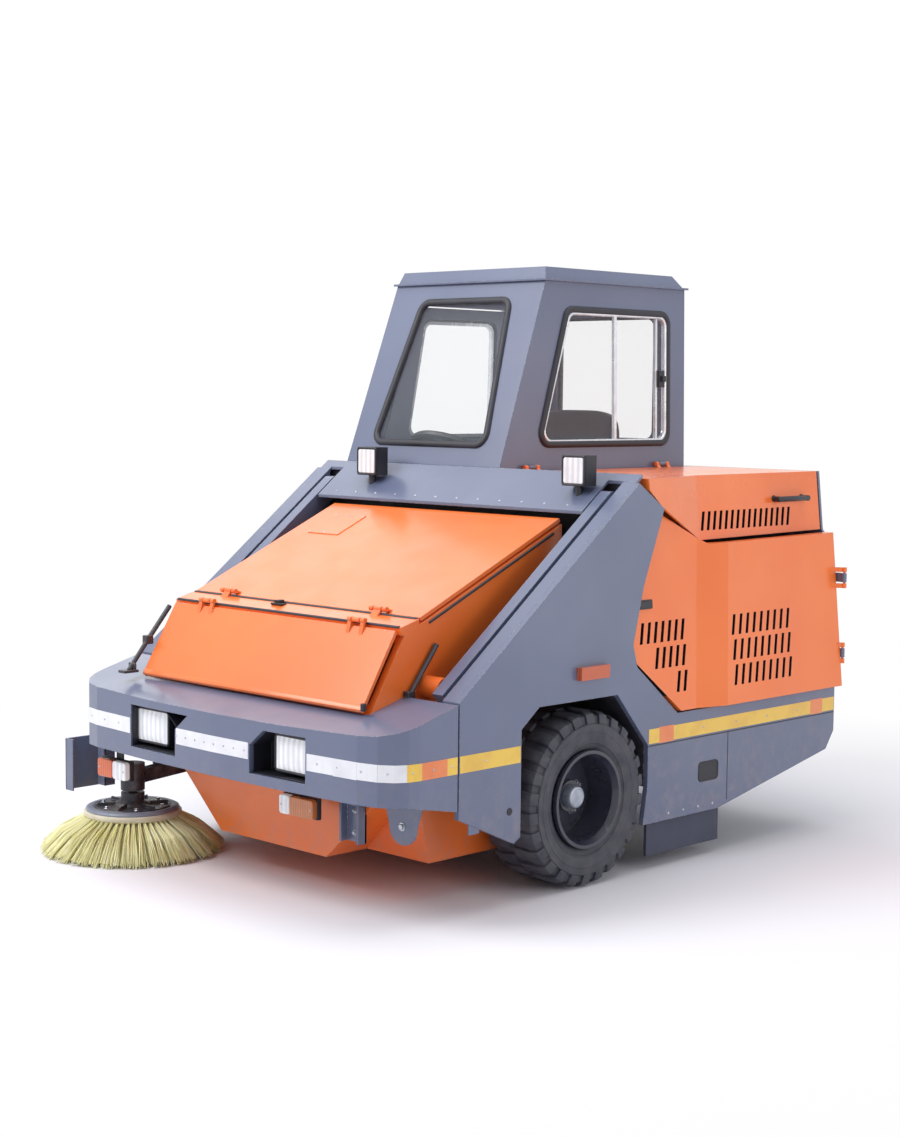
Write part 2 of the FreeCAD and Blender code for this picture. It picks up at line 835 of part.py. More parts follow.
def wheel(name, sign, station, radius, width, rim, at_x, lug_count):
    """A tyre with two rows of shoulder lugs, set half a pitch apart, and two sides to a lug of each row."""
    half = "(%s)/2" % width
    bead = "(%s)*bead_share" % half
    carcass = "(%s) - lug_height" % radius
    place = (at_x, station, radius)
    round_up = "1/cos(180/%s/2)" % lug_count
    well = "((%s) - rim_well + seat_gap)*%s" % (rim, round_up)
    lip = "((%s) + seat_gap)*%s" % (rim, round_up)
    crown = "(%s)*crown_share" % half
    bulge = "(%s)*bulge_share + (%s)*(1 - bulge_share)" % (rim, carcass)
    shoulder = "(%s)*shoulder_share + (%s)*(1 - shoulder_share)" % (rim, carcass)
    profile = [
        ("-(%s)" % bead, well), ("-(%s)" % bead, lip), ("-(%s)" % half, bulge), ("-(%s)" % half, shoulder),
        ("-(%s)" % crown, carcass), (crown, carcass), (half, shoulder), (half, bulge), (bead, lip),
        (bead, well),
    ]
    near_lug = [
        ("(%s)*skirt_share" % half, "-lug_length*lug_slant_share"), (half, "-lug_length/2"),
        (half, "lug_length/4"), ("(%s)*skirt_share" % half, "lug_length/2"),
    ]
    far_lug = [("-(%s)" % across, along) for across, along in near_lug]
    # the lugs' corners lie on the tyre's radius, so they are what touches the floor
    face = "sqrt((%s)^2 - lug_length^2/4)" % radius
    near = prism("XY", near_lug, "(%s) - 2*lug_height" % radius, face)
    far = prism("XY", far_lug, "(%s) - 2*lug_height" % radius, face)
    lugs = []
    count = int(size(lug_count))
    pitch_deg = 360/count
    for k in range(count):
        for lug, shift in ((near, 0), (far, pitch_deg/2)):
            turned = lug.copy()
            turned.rotate(FreeCAD.Vector(), ACROSS, pitch_deg*k + shift)
            lugs.append(turned)
    shaped("tyre_" + name, carcass_form(profile, 2*count).multiFuse(lugs), place)
    body = doc.addObject("PartDesign::Body", "rim_" + name)
    revolve(body, rim_profile(sign, half, bead, rim, at_x))
    keep(body, "rim_" + name, place)


def rim_profile(sign, half, bead, rim, at_x):
    """Half section of a rim: barrel, flanges, deep disc and hub with its bearing bore."""
    lip = "(%s) + seat_gap" % bead
    well = "(%s) - rim_well" % rim
    barrel = "(%s) - rim_well - rim_wall" % rim
    flange = "(%s) - rim_wall" % rim
    if sign == "0":
        disc, hub, bore, blind = "-disc_wall/2", half + " - run_gap/4", "fork_pin_radius + pin_clearance", "0"
        inner = "-(%s)" % hub
    else:
        centre = "half_width - tyre_width/2"
        disc = "axle_end + run_gap - (%s)" % centre
        hub = "hub_end - (%s)" % centre
        bore = "spindle_radius + pin_clearance"
        inner = disc
        blind = "spindle_end + run_gap - (%s)" % centre
    step = "(%s) + disc_wall" % disc
    hub_radius = "hub_radius"
    right = [
        (half, "(%s)" % rim), (half, flange), ("(%s)*barrel_share" % half, barrel), (step, barrel),
        (step, hub_radius),
    ]
    nose = [(hub, hub_radius)]
    if sign == "0":
        middle = [(hub, bore), (inner, bore), (inner, hub_radius), (disc, hub_radius), (disc, barrel)]
    else:
        middle = [(hub, "0"), (blind, "0"), (blind, bore), (inner, bore), (disc, barrel)]
    left = [("-(%s)*barrel_share" % half, barrel), ("-(%s)" % half, flange), ("-(%s)" % half, rim)]
    seat = [("-(%s)" % lip, rim), ("-(%s)" % lip, well), (lip, well), (lip, rim)]
    profile = right + nose + middle + left + seat
    if sign == "-1":
        profile = [("-(%s)" % across, out) for across, out in profile]
    return profile


def front_wheels():
    """The two driven front wheels, with their outer faces at the body's side."""
    centre = "half_width - tyre_width/2"
    wheel("front_left", "1", "wheel_station", "tyre_radius", "tyre_width", "rim_radius", centre,
          "lug_count")
    wheel("front_right", "-1", "wheel_station", "tyre_radius", "tyre_width", "rim_radius", "-(%s)" % centre,
          "lug_count")


def rear_wheel():
    """The single steered rear wheel and the fork that carries it."""
    wheel("rear", "0", "rear_station", "rear_radius", "rear_width", "rear_rim_radius", "0", "rear_lug_count")
    inner = "rear_width/2 + fork_side_gap"
    outer = inner + " + fork_leg"
    crown = block("-(%s)" % outer, outer, "rear_station - fork_half", "rear_station + fork_half",
                  "crown_z", "crown_top_z")
    parts = [post("0", "rear_station", "crown_z", "frame_top_z - run_gap/2", "stem_radius")]
    parts.append(rod("-(%s)" % outer, outer, "rear_station", "rear_radius", "fork_pin_radius"))
    for low, high in (("-(%s)" % outer, "-(%s)" % inner), (inner, outer)):
        leg = [
            ("rear_station - fork_half", "crown_top_z"), ("rear_station + fork_half", "crown_top_z"),
            ("rear_station + fork_half*fork_share", "rear_radius - fork_half*fork_share"),
            ("rear_station - fork_half*fork_share", "rear_radius - fork_half*fork_share"),
        ]
        parts.append(prism("YZ", leg, low, high))
    shaped("rear_fork", crown.multiFuse(parts).removeSplitter())


def cab_form(inset):
    """The cab's outside, or with an inset the inside of its walls: upright below, leaning in above."""
    left = "cab_centre + cab_half - (%s)" % inset
    right = "cab_centre - cab_half + (%s)" % inset
    top_left = "cab_centre + cab_top_half - (%s)" % inset
    top_right = "cab_centre - cab_top_half + (%s)" % inset
    front = "cab_station + (%s)" % inset
    top_front = "cab_top_station + (%s)" % inset
    rear = "cab_rear_station - (%s)" % inset
    knee = slope_z("cowl_station")
    lower = between(level(right, left, front, rear, "deck_z"), level(right, left, front, rear, knee))
    upper = between(level(right, left, front, rear, knee),
                    level(top_right, top_left, top_front, rear, "cab_top_z"))
    return lower.fuse(upper).removeSplitter()


def rounded(solid, direction, radius):
    """Round the edges of a prism that run along a direction."""
    edges = []
    for edge in solid.Edges:
        run = edge.Vertexes[1].Point - edge.Vertexes[0].Point
        if run.normalize().cross(direction).Length < SLIGHT_SHARE:
            edges.append(edge)
    return solid.makeFillet(size(radius), edges)


SLIGHT_SHARE = 0.001
ACROSS = FreeCAD.Vector(1, 0, 0)
ALONG = FreeCAD.Vector(0, 1, 0)
UPWARD = FreeCAD.Vector(0, 0, 1)


def windshield_way(shrink):
    """The prism that cuts the windshield's opening."""
    outline = [
        ("windshield_centre - windshield_low_half + (%s)" % shrink, "windshield_low_z + (%s)" % shrink),
        ("windshield_centre + windshield_low_half - (%s)" % shrink, "windshield_low_z + (%s)" % shrink),
        ("windshield_centre + windshield_top_half - (%s)" % shrink, "windshield_top_z - (%s)" % shrink),
        ("windshield_centre - windshield_top_half + (%s)" % shrink, "windshield_top_z - (%s)" % shrink),
    ]
    way = prism("XZ", outline, "cab_station", "cab_top_station + 2*cab_wall")
    return rounded(way, ALONG, "window_corner")


def side_window_way():
    """The prism that cuts the left side window's opening."""
    outline = [
        ("side_window_front", "side_window_low_z"), ("side_window_rear", "side_window_low_z"),
        ("side_window_rear", "side_window_top_z"), ("side_window_top_front", "side_window_top_z"),
    ]
    way = prism("YZ", outline, "cab_centre + cab_top_half - 2*cab_wall", "cab_centre + cab_half + overrun")
    return rounded(way, ACROSS, "window_corner")


def rear_window_way():
    """The prism that cuts the rear window's opening."""
    outline = rectangle("cab_centre - rear_window_half", "cab_centre + rear_window_half",
                        "side_window_low_z", "side_window_top_z")
    way = prism("XZ", outline, "cab_rear_station - 2*cab_wall", "cab_rear_station + overrun")
    return rounded(way, ALONG, "window_corner")


def door_way(shrink):
    """The prism of the cab door's outline, less a gap all round."""
    outline = [
        ("door_front + (%s)" % shrink, "door_low_z + (%s)" % shrink),
        ("door_rear - (%s)" % shrink, "door_low_z + (%s)" % shrink),
        ("door_rear - (%s)" % shrink, "door_top_z - (%s)" % shrink),
        ("door_top_front + (%s)" % shrink, "door_top_z - (%s)" % shrink),
        ("door_front + (%s)" % shrink, "door_knee_z - (%s)/2" % shrink),
    ]
    way = prism("YZ", outline, "cab_centre - cab_half - overrun", "cab_centre - cab_top_half + 2*cab_wall")
    return rounded(way, ACROSS, "door_corner")


def door_window_way():
    """The prism that cuts the window in the cab door."""
    outline = [
        ("door_glass_front", "side_window_low_z"), ("door_glass_rear", "side_window_low_z"),
        ("door_glass_rear", "door_glass_top_z"), ("door_glass_top_front", "door_glass_top_z"),
    ]
    way = prism("YZ", outline, "cab_centre - cab_half - overrun", "cab_centre - cab_top_half + 2*cab_wall")
    return rounded(way, ACROSS, "window_corner")


def cab():
    """Cab shell, its glass and the hinged door in its right wall."""
    walls = cab_form("0").cut(cab_form("cab_wall"))
    pane = cab_form("glass_inset").cut(cab_form("glass_inset + glass_wall"))
    ways = [windshield_way("0"), side_window_way(), rear_window_way()]
    shell = walls.cut(door_way("0"))
    for way in ways:
        shell = shell.cut(way)
    door = walls.common(door_way("door_gap")).cut(door_window_way())
    side = "cab_centre - cab_half"
    line_x = side + " - knuckle_radius - knuckle_gap"
    inside_x = side + " + cab_wall/2"
    for height in ("cab_hinge_low_z", "cab_hinge_top_z"):
        spot = (line_x, "door_rear - door_gap/2", height)
        shell, door = hinge(shell, door, spot, UPWARD, (inside_x, "door_rear + cab_wall", height),
                            (inside_x, "door_rear - door_gap - cab_wall", height))
    shaped("cab_door", door.removeSplitter())
    shaped("cab_door_glass", pane.common(door_window_way()))
    shaped("cab_glass", Part.makeCompound([pane.common(way) for way in ways]))
    return shell


def cab_roof():
    """Roof cap with a thin drip lip, hollow underneath."""
    left = "cab_centre + cab_top_half"
    right = "cab_centre - cab_top_half"
    front = "cab_top_station"
    rear = "cab_rear_station"

    def ring(grow, z):
        return level("%s - (%s)" % (right, grow), "%s + (%s)" % (left, grow),
                     "%s - (%s)" % (front, grow), "%s + (%s)" % (rear, grow), z)

    def cap(inset, z):
        return level("%s + roof_slant + (%s)" % (right, inset), "%s - roof_slant - (%s)" % (left, inset),
                     "%s + roof_slant + (%s)" % (front, inset), "%s - 3*roof_slant - (%s)" % (rear, inset), z)

    lip = between(ring("roof_lip", "cab_top_z"), ring("roof_lip", "cab_top_z + roof_lip_wall"))
    dome = between(ring("0", "cab_top_z"), cap("0", "cab_top_z + roof_rise"))
    hollow = between(ring("-cab_wall", "cab_top_z - overrun"), ring("-cab_wall", "cab_top_z"))
    ceiling = cap("cab_wall", "cab_top_z + roof_rise - sheet_wall")
    hollow = hollow.fuse(between(ring("-cab_wall", "cab_top_z"), ceiling))
    shaped("cab_roof", lip.fuse(dome).cut(hollow).removeSplitter())


def cab_floor():
    """Floor plate between the cab walls, on the frame."""
    left = "cab_centre + cab_half - cab_wall"
    right = "cab_centre - cab_half + cab_wall"
    outline = rectangle(right, left, "cab_station + cab_wall", "cab_rear_station - cab_wall")
    sheet_piece("cab_floor", "XY", [outline], "frame_top_z", "frame_top_z + cab_floor")


def driver_seat():
    """Seat pedestal, cushion and back."""
    body = doc.addObject("PartDesign::Body", "driver_seat")
    pedestal_half = "(seat_half - pedestal_inset)"
    base = rectangle("seat_station + pedestal_inset", "seat_station + seat_depth",
                     "frame_top_z + cab_floor", "seat_z")
    pad(body, "YZ", [base], "steer_across - " + pedestal_half, "steer_across + " + pedestal_half)
    cushion = [
        ("seat_station", "seat_z"), ("seat_station + seat_depth + back_wall", "seat_z"),
        ("seat_station + seat_depth + back_wall + back_lean", "seat_z + cushion_wall + back_height"),
        ("seat_station + seat_depth + back_lean", "seat_z + cushion_wall + back_height"),
        ("seat_station + seat_depth", "seat_z + cushion_wall"), ("seat_station", "seat_z + cushion_wall"),
    ]
    pad(body, "YZ", [cushion], "steer_across - seat_half", "steer_across + seat_half")
    keep(body, "driver_seat")


def steering():
    """Dashboard with the column, and the wheel that turns on the column's spindle."""
    tilt = FreeCAD.Rotation(ACROSS, -STEER_TILT_DEG)
    axis = tilt.multVec(UPWARD)
    centre = point("steer_across", "steer_station", "steer_z")
    low = centre - axis*size("column_length")
    outline = [
        ("cab_station + cab_wall", "dash_low_z"), ("dash_station", "dash_low_z + dash_station - cab_station"),
        ("dash_station", "dash_top_z - dash_slant"), ("dash_station - dash_slant", "dash_top_z"),
        ("cab_station + cab_wall", "dash_top_z"),
    ]
    dash = prism("YZ", outline, "steer_across - dash_half", "steer_across + dash_half")
    dash = dash.cut(cab_form("0").cut(cab_form("cab_wall")))
    column = Part.makeCylinder(size("column_radius"), size("column_length - hub_drop"), low, axis)
    spindle = Part.makeCylinder(size("column_pin"), size("column_length"), low, axis)
    shaped("dashboard", dash.multiFuse([column, spindle]).removeSplitter())
    body = doc.addObject("PartDesign::Body", "steering_wheel")
    bore = "column_pin + pin_clearance"
    hub = [(bore, "run_gap - hub_drop"), ("column_radius", "run_gap - hub_drop"),
           ("column_radius", "steer_grip"),
           (bore, "steer_grip")]
    spin(body, hub)
    spoke = rectangle("column_radius - sheet_wall/2", "steer_radius - steer_grip",
                      "-steer_grip/2", "steer_grip/2")
    arm = pad(body, "XZ", [spoke], "-steer_grip", "steer_grip")
    around(body, [arm], "Z_Axis", "spoke_count")
    near, far = "steer_radius - 2*steer_grip", "steer_radius"
    chamfer = "steer_grip*grip_share"
    rim = [
        (near, "-steer_grip + %s" % chamfer), (near + " + " + chamfer, "-steer_grip"),
        (far + " - " + chamfer, "-steer_grip"), (far, "-steer_grip + " + chamfer),
        (far, "steer_grip - " + chamfer), (far + " - " + chamfer, "steer_grip"),
        (near + " + " + chamfer, "steer_grip"), (near, "steer_grip - " + chamfer),
    ]
    spin(body, rim)
    body.Placement = FreeCAD.Placement(FreeCAD.Vector(), tilt)
    keep(body, "steering_wheel", ("steer_across", "steer_station", "steer_z"))


STEER_TILT_DEG = 25


def slanted_slots(side_x, rows_share, columns, low_station, high_station, low_z, high_z):
    """Slanted slots in rows and columns, as one tool that cuts through a leaning sheet."""
    pitch = "(%s - (%s))/(%s)" % (high_station, low_station, columns)
    rise = "(%s - (%s))/(%s)" % (high_z, low_z, rows_share)
    tools = []
    for row in range(int(size(rows_share))):
        for column in range(int(size(columns))):
            start = "(%s) + (%s)*%d" % (low_station, pitch, column)
            foot = "(%s) + (%s)*%d" % (low_z, rise, row)
            head = "(%s) + (%s) - slot_bridge" % (foot, rise)
            tools.append([
                (start, foot), (start + " + slot_width", foot),
                (start + " + slot_width + slot_slant", head), (start + " + slot_slant", head),
            ])
    return [prism("YZ", outline, "%s - 3*overrun" % side_x, "%s + 3*overrun" % side_x) for outline in tools]


def hood_form(inset):
    """The hood's outside, or its inside with an inset: a faceted front and a straight rear."""
    inner = "cab_centre + cab_half + run_gap + (%s)" % inset
    outer = "half_width + 3*overrun"
    front = "hood_station + (%s)" % inset
    fold = "hood_fold_station"
    rear = "hood_rear_station - (%s)" % inset
    low = "hood_low_z - 4*overrun - 4*(%s)" % inset
    top = "hood_top_z - (%s)" % inset
    side = "hood_side - (%s)" % inset
    side_low = "hood_side_low - (%s)" % inset
    ahead = trimmed(block(inner, outer, front, fold, low, top),
                    [(side, fold, "hood_top_z"), (side_low, fold, "hood_low_z"),
                     ("half_width - (%s)" % inset, "hood_station", "hood_top_z")])
    behind = trimmed(block(inner, outer, fold, rear, low, top),
                     [(side, fold, "hood_top_z"), (side_low, fold, "hood_low_z"), (side, rear, "hood_top_z")])
    return ahead.fuse(behind).removeSplitter()


def hood_underside(drop):
    """Outline below the hood's lower edge, which follows the side panel's facet and then the door."""
    floor = "hood_low_z - 6*overrun"
    start = "peak_station - overrun"
    facet = "(facet_z - peak_z)/(facet_station - peak_station)"
    return [
        (start, floor),
        (start, "peak_z + %s*(-overrun) + panel_gap - (%s)" % (facet, drop)),
        ("facet_station", "facet_z + panel_gap - (%s)" % drop),
        ("hood_fold_station", "hood_low_front_z - (%s)" % drop),
        ("hood_rear_station + overrun", "hood_low_z - (%s)" % drop),
        ("hood_rear_station + overrun", floor),
    ]


def engine_hood(shell):
    """Lifting engine hood with its louvre slots and bar handle."""
    hood = hood_form("0").cut(hood_form("hood_wall"))
    hood = hood.cut(prism("YZ", hood_underside("0"), "0", "half_width + 4*overrun"))
    slots = slanted_slots("hood_side", "hood_rows", "hood_columns", "hood_slot_front", "hood_slot_rear",
                          "hood_slot_low_z", "hood_slot_top_z + slot_bridge")
    hood = hood.cut(Part.makeCompound(slots))
    grip = []
    out = "hood_side + handle_out"
    run = Part.makeCylinder(size("handle_radius"), size("handle_rear - handle_front"),
                            point(out, "handle_front", "handle_z"), ALONG)
    grip.append(run)
    for station in ("handle_front + 2*handle_radius", "handle_rear - 2*handle_radius"):
        start = point("hood_side - hood_wall/2", station, "handle_z")
        grip.append(Part.makeCylinder(size("handle_radius"), size("handle_out + hood_wall/2"), start, ACROSS))
    hood = hood.multiFuse(grip)
    line_x = "cab_centre + cab_half + knuckle_radius + knuckle_gap"
    line_z = "hood_top_z + knuckle_radius + knuckle_gap"
    for station in ("hood_hinge_front", "hood_hinge_rear"):
        spot = (line_x, station, line_z)
        seat = ("cab_centre + cab_half - cab_wall/2", station, "hood_top_z")
        shell, hood = hinge(shell, hood, spot, ALONG, seat,
                            (line_x + " + 2*knuckle_radius", station, "hood_top_z - hood_wall/2"))
    shaped("engine_hood", hood.removeSplitter())
    return shell


def folded_sheet(wall):
    """The engine door's leaning skin, folded outwards along a slanted band."""
    low, high = "deck_z", "door_lean_top_z"

    def plan(z_name, lean, shift):
        near = "door_face_x - (%s)" % lean
        outer = [
            (near, "peak_station - overrun"), (near, "bulge_station + (%s)" % shift),
            (near + " + bulge_out", "bulge_station + bulge_run + (%s)" % shift),
            (near + " + bulge_out", "hood_rear_station + overrun"),
        ]
        inner = [("%s - (%s)" % (across, wall), along) for across, along in reversed(outer)]
        return [point(across, along, z_name) for across, along in outer + inner]

    reach = "(hood_top_z - deck_z)/(door_lean_top_z - deck_z)"
    return between(plan(low, "0", "0"), plan("hood_top_z", "door_lean*%s" % reach, "bulge_shift*%s" % reach))


def engine_door_outline(inset):
    """Outline of the engine door, a gap inside the panel's notch and the hood's lower edge."""
    gap = "panel_gap + (%s)" % inset
    return [
        ("notch_station + (%s)" % gap, "deck_z + (%s)" % gap),
        ("notch_low_station + (%s)" % gap, "notch_low_z + (%s)" % gap),
        ("notch_in_station + (%s)" % gap, "notch_in_z"),
        ("notch_up_station + (%s)" % gap, "notch_up_z"),
        ("facet_station + (%s)" % gap, "facet_z + panel_gap - (%s)*facet_drop_share" % gap),
        ("hood_fold_station", "hood_low_front_z - (%s)*edge_drop_share" % gap),
        ("hood_rear_station - (%s)" % inset, "hood_low_z - (%s)*edge_drop_share" % gap),
        ("hood_rear_station - (%s)" % inset, "deck_z + (%s)" % gap),
    ]


def engine_door(tail):
    """Side door over the engine: folded skin, turned-in edges and two slanted grilles."""
    near, far = "hood_side - 3*overrun", "half_width + 3*overrun"
    whole = prism("YZ", engine_door_outline("0"), near, far)
    middle = prism("YZ", engine_door_outline("side_door_wall"), near, far)
    skin = folded_sheet("side_door_wall").common(whole)
    edge = folded_sheet("door_return").common(whole.cut(middle))
    door = skin.fuse(edge)
    keep_in = prism("YZ", engine_door_outline("2*side_door_wall"), near, far)
    for place in ("front", "rear"):
        slots = slanted_slots("half_width", "grille_rows", "grille_%s_columns" % place,
                              "grille_%s_station" % place, "grille_%s_end" % place,
                              "grille_low_z", "grille_top_z")
        inside = [slot for slot in slots if slot.cut(keep_in).Volume < slot.Volume*SLIGHT_SHARE]
        door = door.cut(Part.makeCompound(inside))
    door = door.removeSplitter()
    line_x = "half_width + 2*hinge_inset"
    line_y = "hood_rear_station + knuckle_radius"
    for height in ("door_hinge_low_z", "door_hinge_top_z"):
        lean = "door_lean*(%s - deck_z)/(door_lean_top_z - deck_z)" % height
        face = "door_face_x + bulge_out - (%s)" % lean
        spot = (line_x, line_y, height)
        tail, door = hinge(tail, door, spot, UPWARD,
                           (face + " - 3*hinge_inset", "tail_station - tail_wall/2", height),
                           (face + " - side_door_wall", "hood_rear_station - 2*side_door_wall", height))
    shaped("engine_door", door)
    return tail


def tail_panel():
    """Rear wall behind the cab and engine, with its radiator slots and lamp openings."""
    near = "tail_station - tail_wall"
    right = "cab_centre - cab_half"
    edge = "door_face_x + bulge_out - door_return - 2*run_gap"
    outline = [
        (right, "deck_z"), (edge, "deck_z"), (edge + " - door_lean", "door_lean_top_z"),
        ("hood_side_low", "hood_low_z"), ("hood_side", "hood_top_z"), (right, "hood_top_z"),
    ]
    wall = prism("XZ", outline, near, "tail_station")
    returned = "cab_rear_station + run_gap"
    side = block(right, right + " + tail_wall", returned, near, "deck_z", "hood_top_z")
    roof = block(right, "cab_centre + cab_half", returned, near, "hood_top_z - tail_wall", "hood_top_z")
    wall = wall.multiFuse([side, roof])
    tools = []
    for row in range(int(size("radiator_rows"))):
        low = "radiator_low_z + %d*radiator_pitch" % row
        tools.append(block("radiator_in", "radiator_out", near + " - overrun", "tail_station + overrun",
                           low, low + " + radiator_slot"))
    for low, high in TAIL_LAMP_SIDES:
        tools.append(block(low, high, near + " - overrun", "tail_station + overrun",
                           "tail_lamp_low_z", "tail_lamp_top_z"))
    return wall.cut(Part.makeCompound(tools))


TAIL_LAMP_SIDES = (
    ("cab_centre - cab_half + tail_lamp_inset", "cab_centre - cab_half + tail_lamp_inset + tail_lamp_width"),
    ("hood_side_low - tail_lamp_inset - tail_lamp_width", "hood_side_low - tail_lamp_inset"),
)


def tail_lamps():
    """Rear lamps let into the tail panel."""
    lamps = [block(low, high, "tail_station - 2*tail_wall", "tail_station",
                   "tail_lamp_low_z", "tail_lamp_top_z")
             for low, high in TAIL_LAMP_SIDES]
    shaped("tail_lamps", Part.makeCompound(lamps))


def side_decks():
    """Deck plates between the frame rails and the side panels, with a raised step beside the cab door."""
    inner, outer = "frame_half", "half_width - panel_wall"
    plates = []
    for low, high in ((inner, outer), ("-(%s)" % outer, "-" + inner)):
        plates.append(block(low, high, "cowl_station", "tail_station", "deck_z - sheet_wall", "deck_z"))
    step = block("-(%s)" % outer, "cab_centre - cab_half - hinge_inset - knuckle_gap", "notch_station",
                 "tail_station - corner_post", "deck_z - sheet_wall/2", "deck_z + step_rise")
    plates[1] = plates[1].fuse(step)
    shaped("side_decks", Part.makeCompound(plates))


def engine_block():
    """Engine, as one plain block of its real size and place."""
    outline = rectangle("engine_in", "engine_out", "engine_front", "engine_rear")
    sheet_piece("engine_block", "XY", [outline], "frame_top_z", "engine_top_z")


def tub_part(inset):
    """Hopper tub's forms, outside or with an inset inside: the body, the nose trough and the rear trough."""
    half = "hopper_half - (%s)" % inset
    trough_half = "hopper_half - hopper_wall - (%s)" % inset
    join = "hopper_shelf_z + hopper_wall/2"
    floor = "trough_z + (%s)" % inset
    nose = "nose_station + (%s)" % inset
    back = "trough_station + 2*(%s)" % inset
    top_nose = "tub_station + 3*hopper_wall + (%s)" % inset
    low_half, top_half = "nose_half - (%s)" % inset, "nose_top_half - (%s)" % inset
    nose_low = between(level("-(%s)" % low_half, low_half, nose, back, floor),
                       level("-(%s)" % top_half, top_half, nose, back, "nose_top_z"))
    nose_top = between(level("-(%s)" % top_half, top_half, nose, back, "nose_top_z"),
                       level("-(%s)" % trough_half, trough_half, top_nose, back, join))
    rear = [
        ("trough_station + (%s)" % inset, floor), ("hopper_low_station - (%s)" % inset, floor),
        ("hopper_low_station - (%s)" % inset, join),
        ("trough_top_station - 7*hopper_wall + (%s)" % inset, join),
        ("trough_top_station + (%s)" % inset, "nose_top_z"),
    ]
    rear_part = prism("YZ", rear, "-(%s)" % trough_half, trough_half)
    return half, [nose_low, nose_top, rear_part]


def hopper_tub():
    """Open tub with its strip in front of the lid, dump opening, dirt inlet and lift pins."""
    lid_drop = "lid_wall + run_gap"
    seat_rise = "(lid_rear_z - lid_z)/(lid_rear_station - lid_station)"
    front_slope = "(strip_station - door_low_station)/(strip_z - front_low_z)"
    top_edge = "strip_z - 2*sheet_wall"
    front_top = "tub_station + (%s)*(%s - hopper_shelf_z)" % (front_slope, top_edge)
    seat_z = "lid_z - (%s)*seat_share" % lid_drop
    back = "hopper_back_station + hopper_wall"
    rear_top = "lid_z - (%s)*seat_share + %s*(%s - lid_station)" % (lid_drop, seat_rise, back)
    outline = [
        ("tub_station", "hopper_shelf_z"), (front_top, top_edge),
        ("strip_station + sheet_wall", top_edge), ("strip_station + run_gap", "strip_z + lid_wall/4"),
        ("lid_station - run_gap", "lid_z - lid_wall/4"), ("lid_station - run_gap", seat_z),
        (back, rear_top), (back, "hopper_shelf_z"),
    ]
    w = "hopper_wall"
    cavity = [
        ("tub_station + 3*%s" % w, "hopper_shelf_z - %s" % w),
        ("%s + 2*%s" % (front_top, w), top_edge + " - 3*" + w),
        ("lid_station", seat_z + " - " + w), ("hopper_back_station", rear_top + " - 2*" + w),
        ("hopper_back_station", "hopper_shelf_z + " + w),
        ("hopper_low_station - " + w, "hopper_shelf_z + " + w),
        ("hopper_low_station - " + w, "hopper_shelf_z - " + w),
    ]
    half, forms = tub_part("0")
    tub = prism("YZ", outline, "-(%s)" % half, half).multiFuse(forms)
    inner_half, hollows = tub_part("hopper_wall")
    hollow = prism("YZ", cavity, "-(%s)" % inner_half, inner_half).multiFuse(hollows)
    tub = tub.cut(hollow)
    rim = "3*hopper_wall"
    mouth = [
        ("lid_station + " + rim, seat_z + " - overrun"), ("lid_station + " + rim, seat_z + " + 3*overrun"),
        ("hopper_back_station - hopper_wall", rear_top + " + overrun"),
        ("hopper_back_station - hopper_wall", rear_top + " - 2*overrun"),
    ]
    tub = tub.cut(prism("YZ", mouth, "%s - hopper_half" % rim, "hopper_half - %s" % rim))
    low_z, high_z = "front_low_z + 2*hopper_wall", "strip_z - 5*hopper_wall"

    def front(z, out):
        return ("tub_station + (%s)*(%s - hopper_shelf_z) + (%s)" % (front_slope, z, out), z)

    chute = [
        front(low_z, "-overrun"), front(low_z, "overrun"),
        front(high_z, "overrun"), front(high_z, "-overrun"),
    ]
    tub = tub.cut(prism("YZ", chute, "%s - hopper_half" % rim, "hopper_half - %s" % rim))
    inlet = block("-inlet_half", "inlet_half", "hopper_low_station - 2*hopper_wall",
                  "hopper_low_station + overrun", "trough_z + 2*hopper_wall", "inlet_top_z")
    tub = tub.cut(inlet)
    pins = []
    for low, high, boss_low, boss_high in (
            ("hopper_half - hopper_wall", "arm_out + run_gap/2",
             "hopper_half - hopper_wall", "arm_in - run_gap"),
            ("-(arm_out + run_gap/2)", "hopper_wall - hopper_half",
             "run_gap - arm_in", "hopper_wall - hopper_half")):
        pins.append(rod(low, high, "arm_tip_station", TIP_Z, "pin_radius"))
        pins.append(rod(boss_low, boss_high, "arm_tip_station", TIP_Z, "boss_radius"))
    return tub.multiFuse(pins)


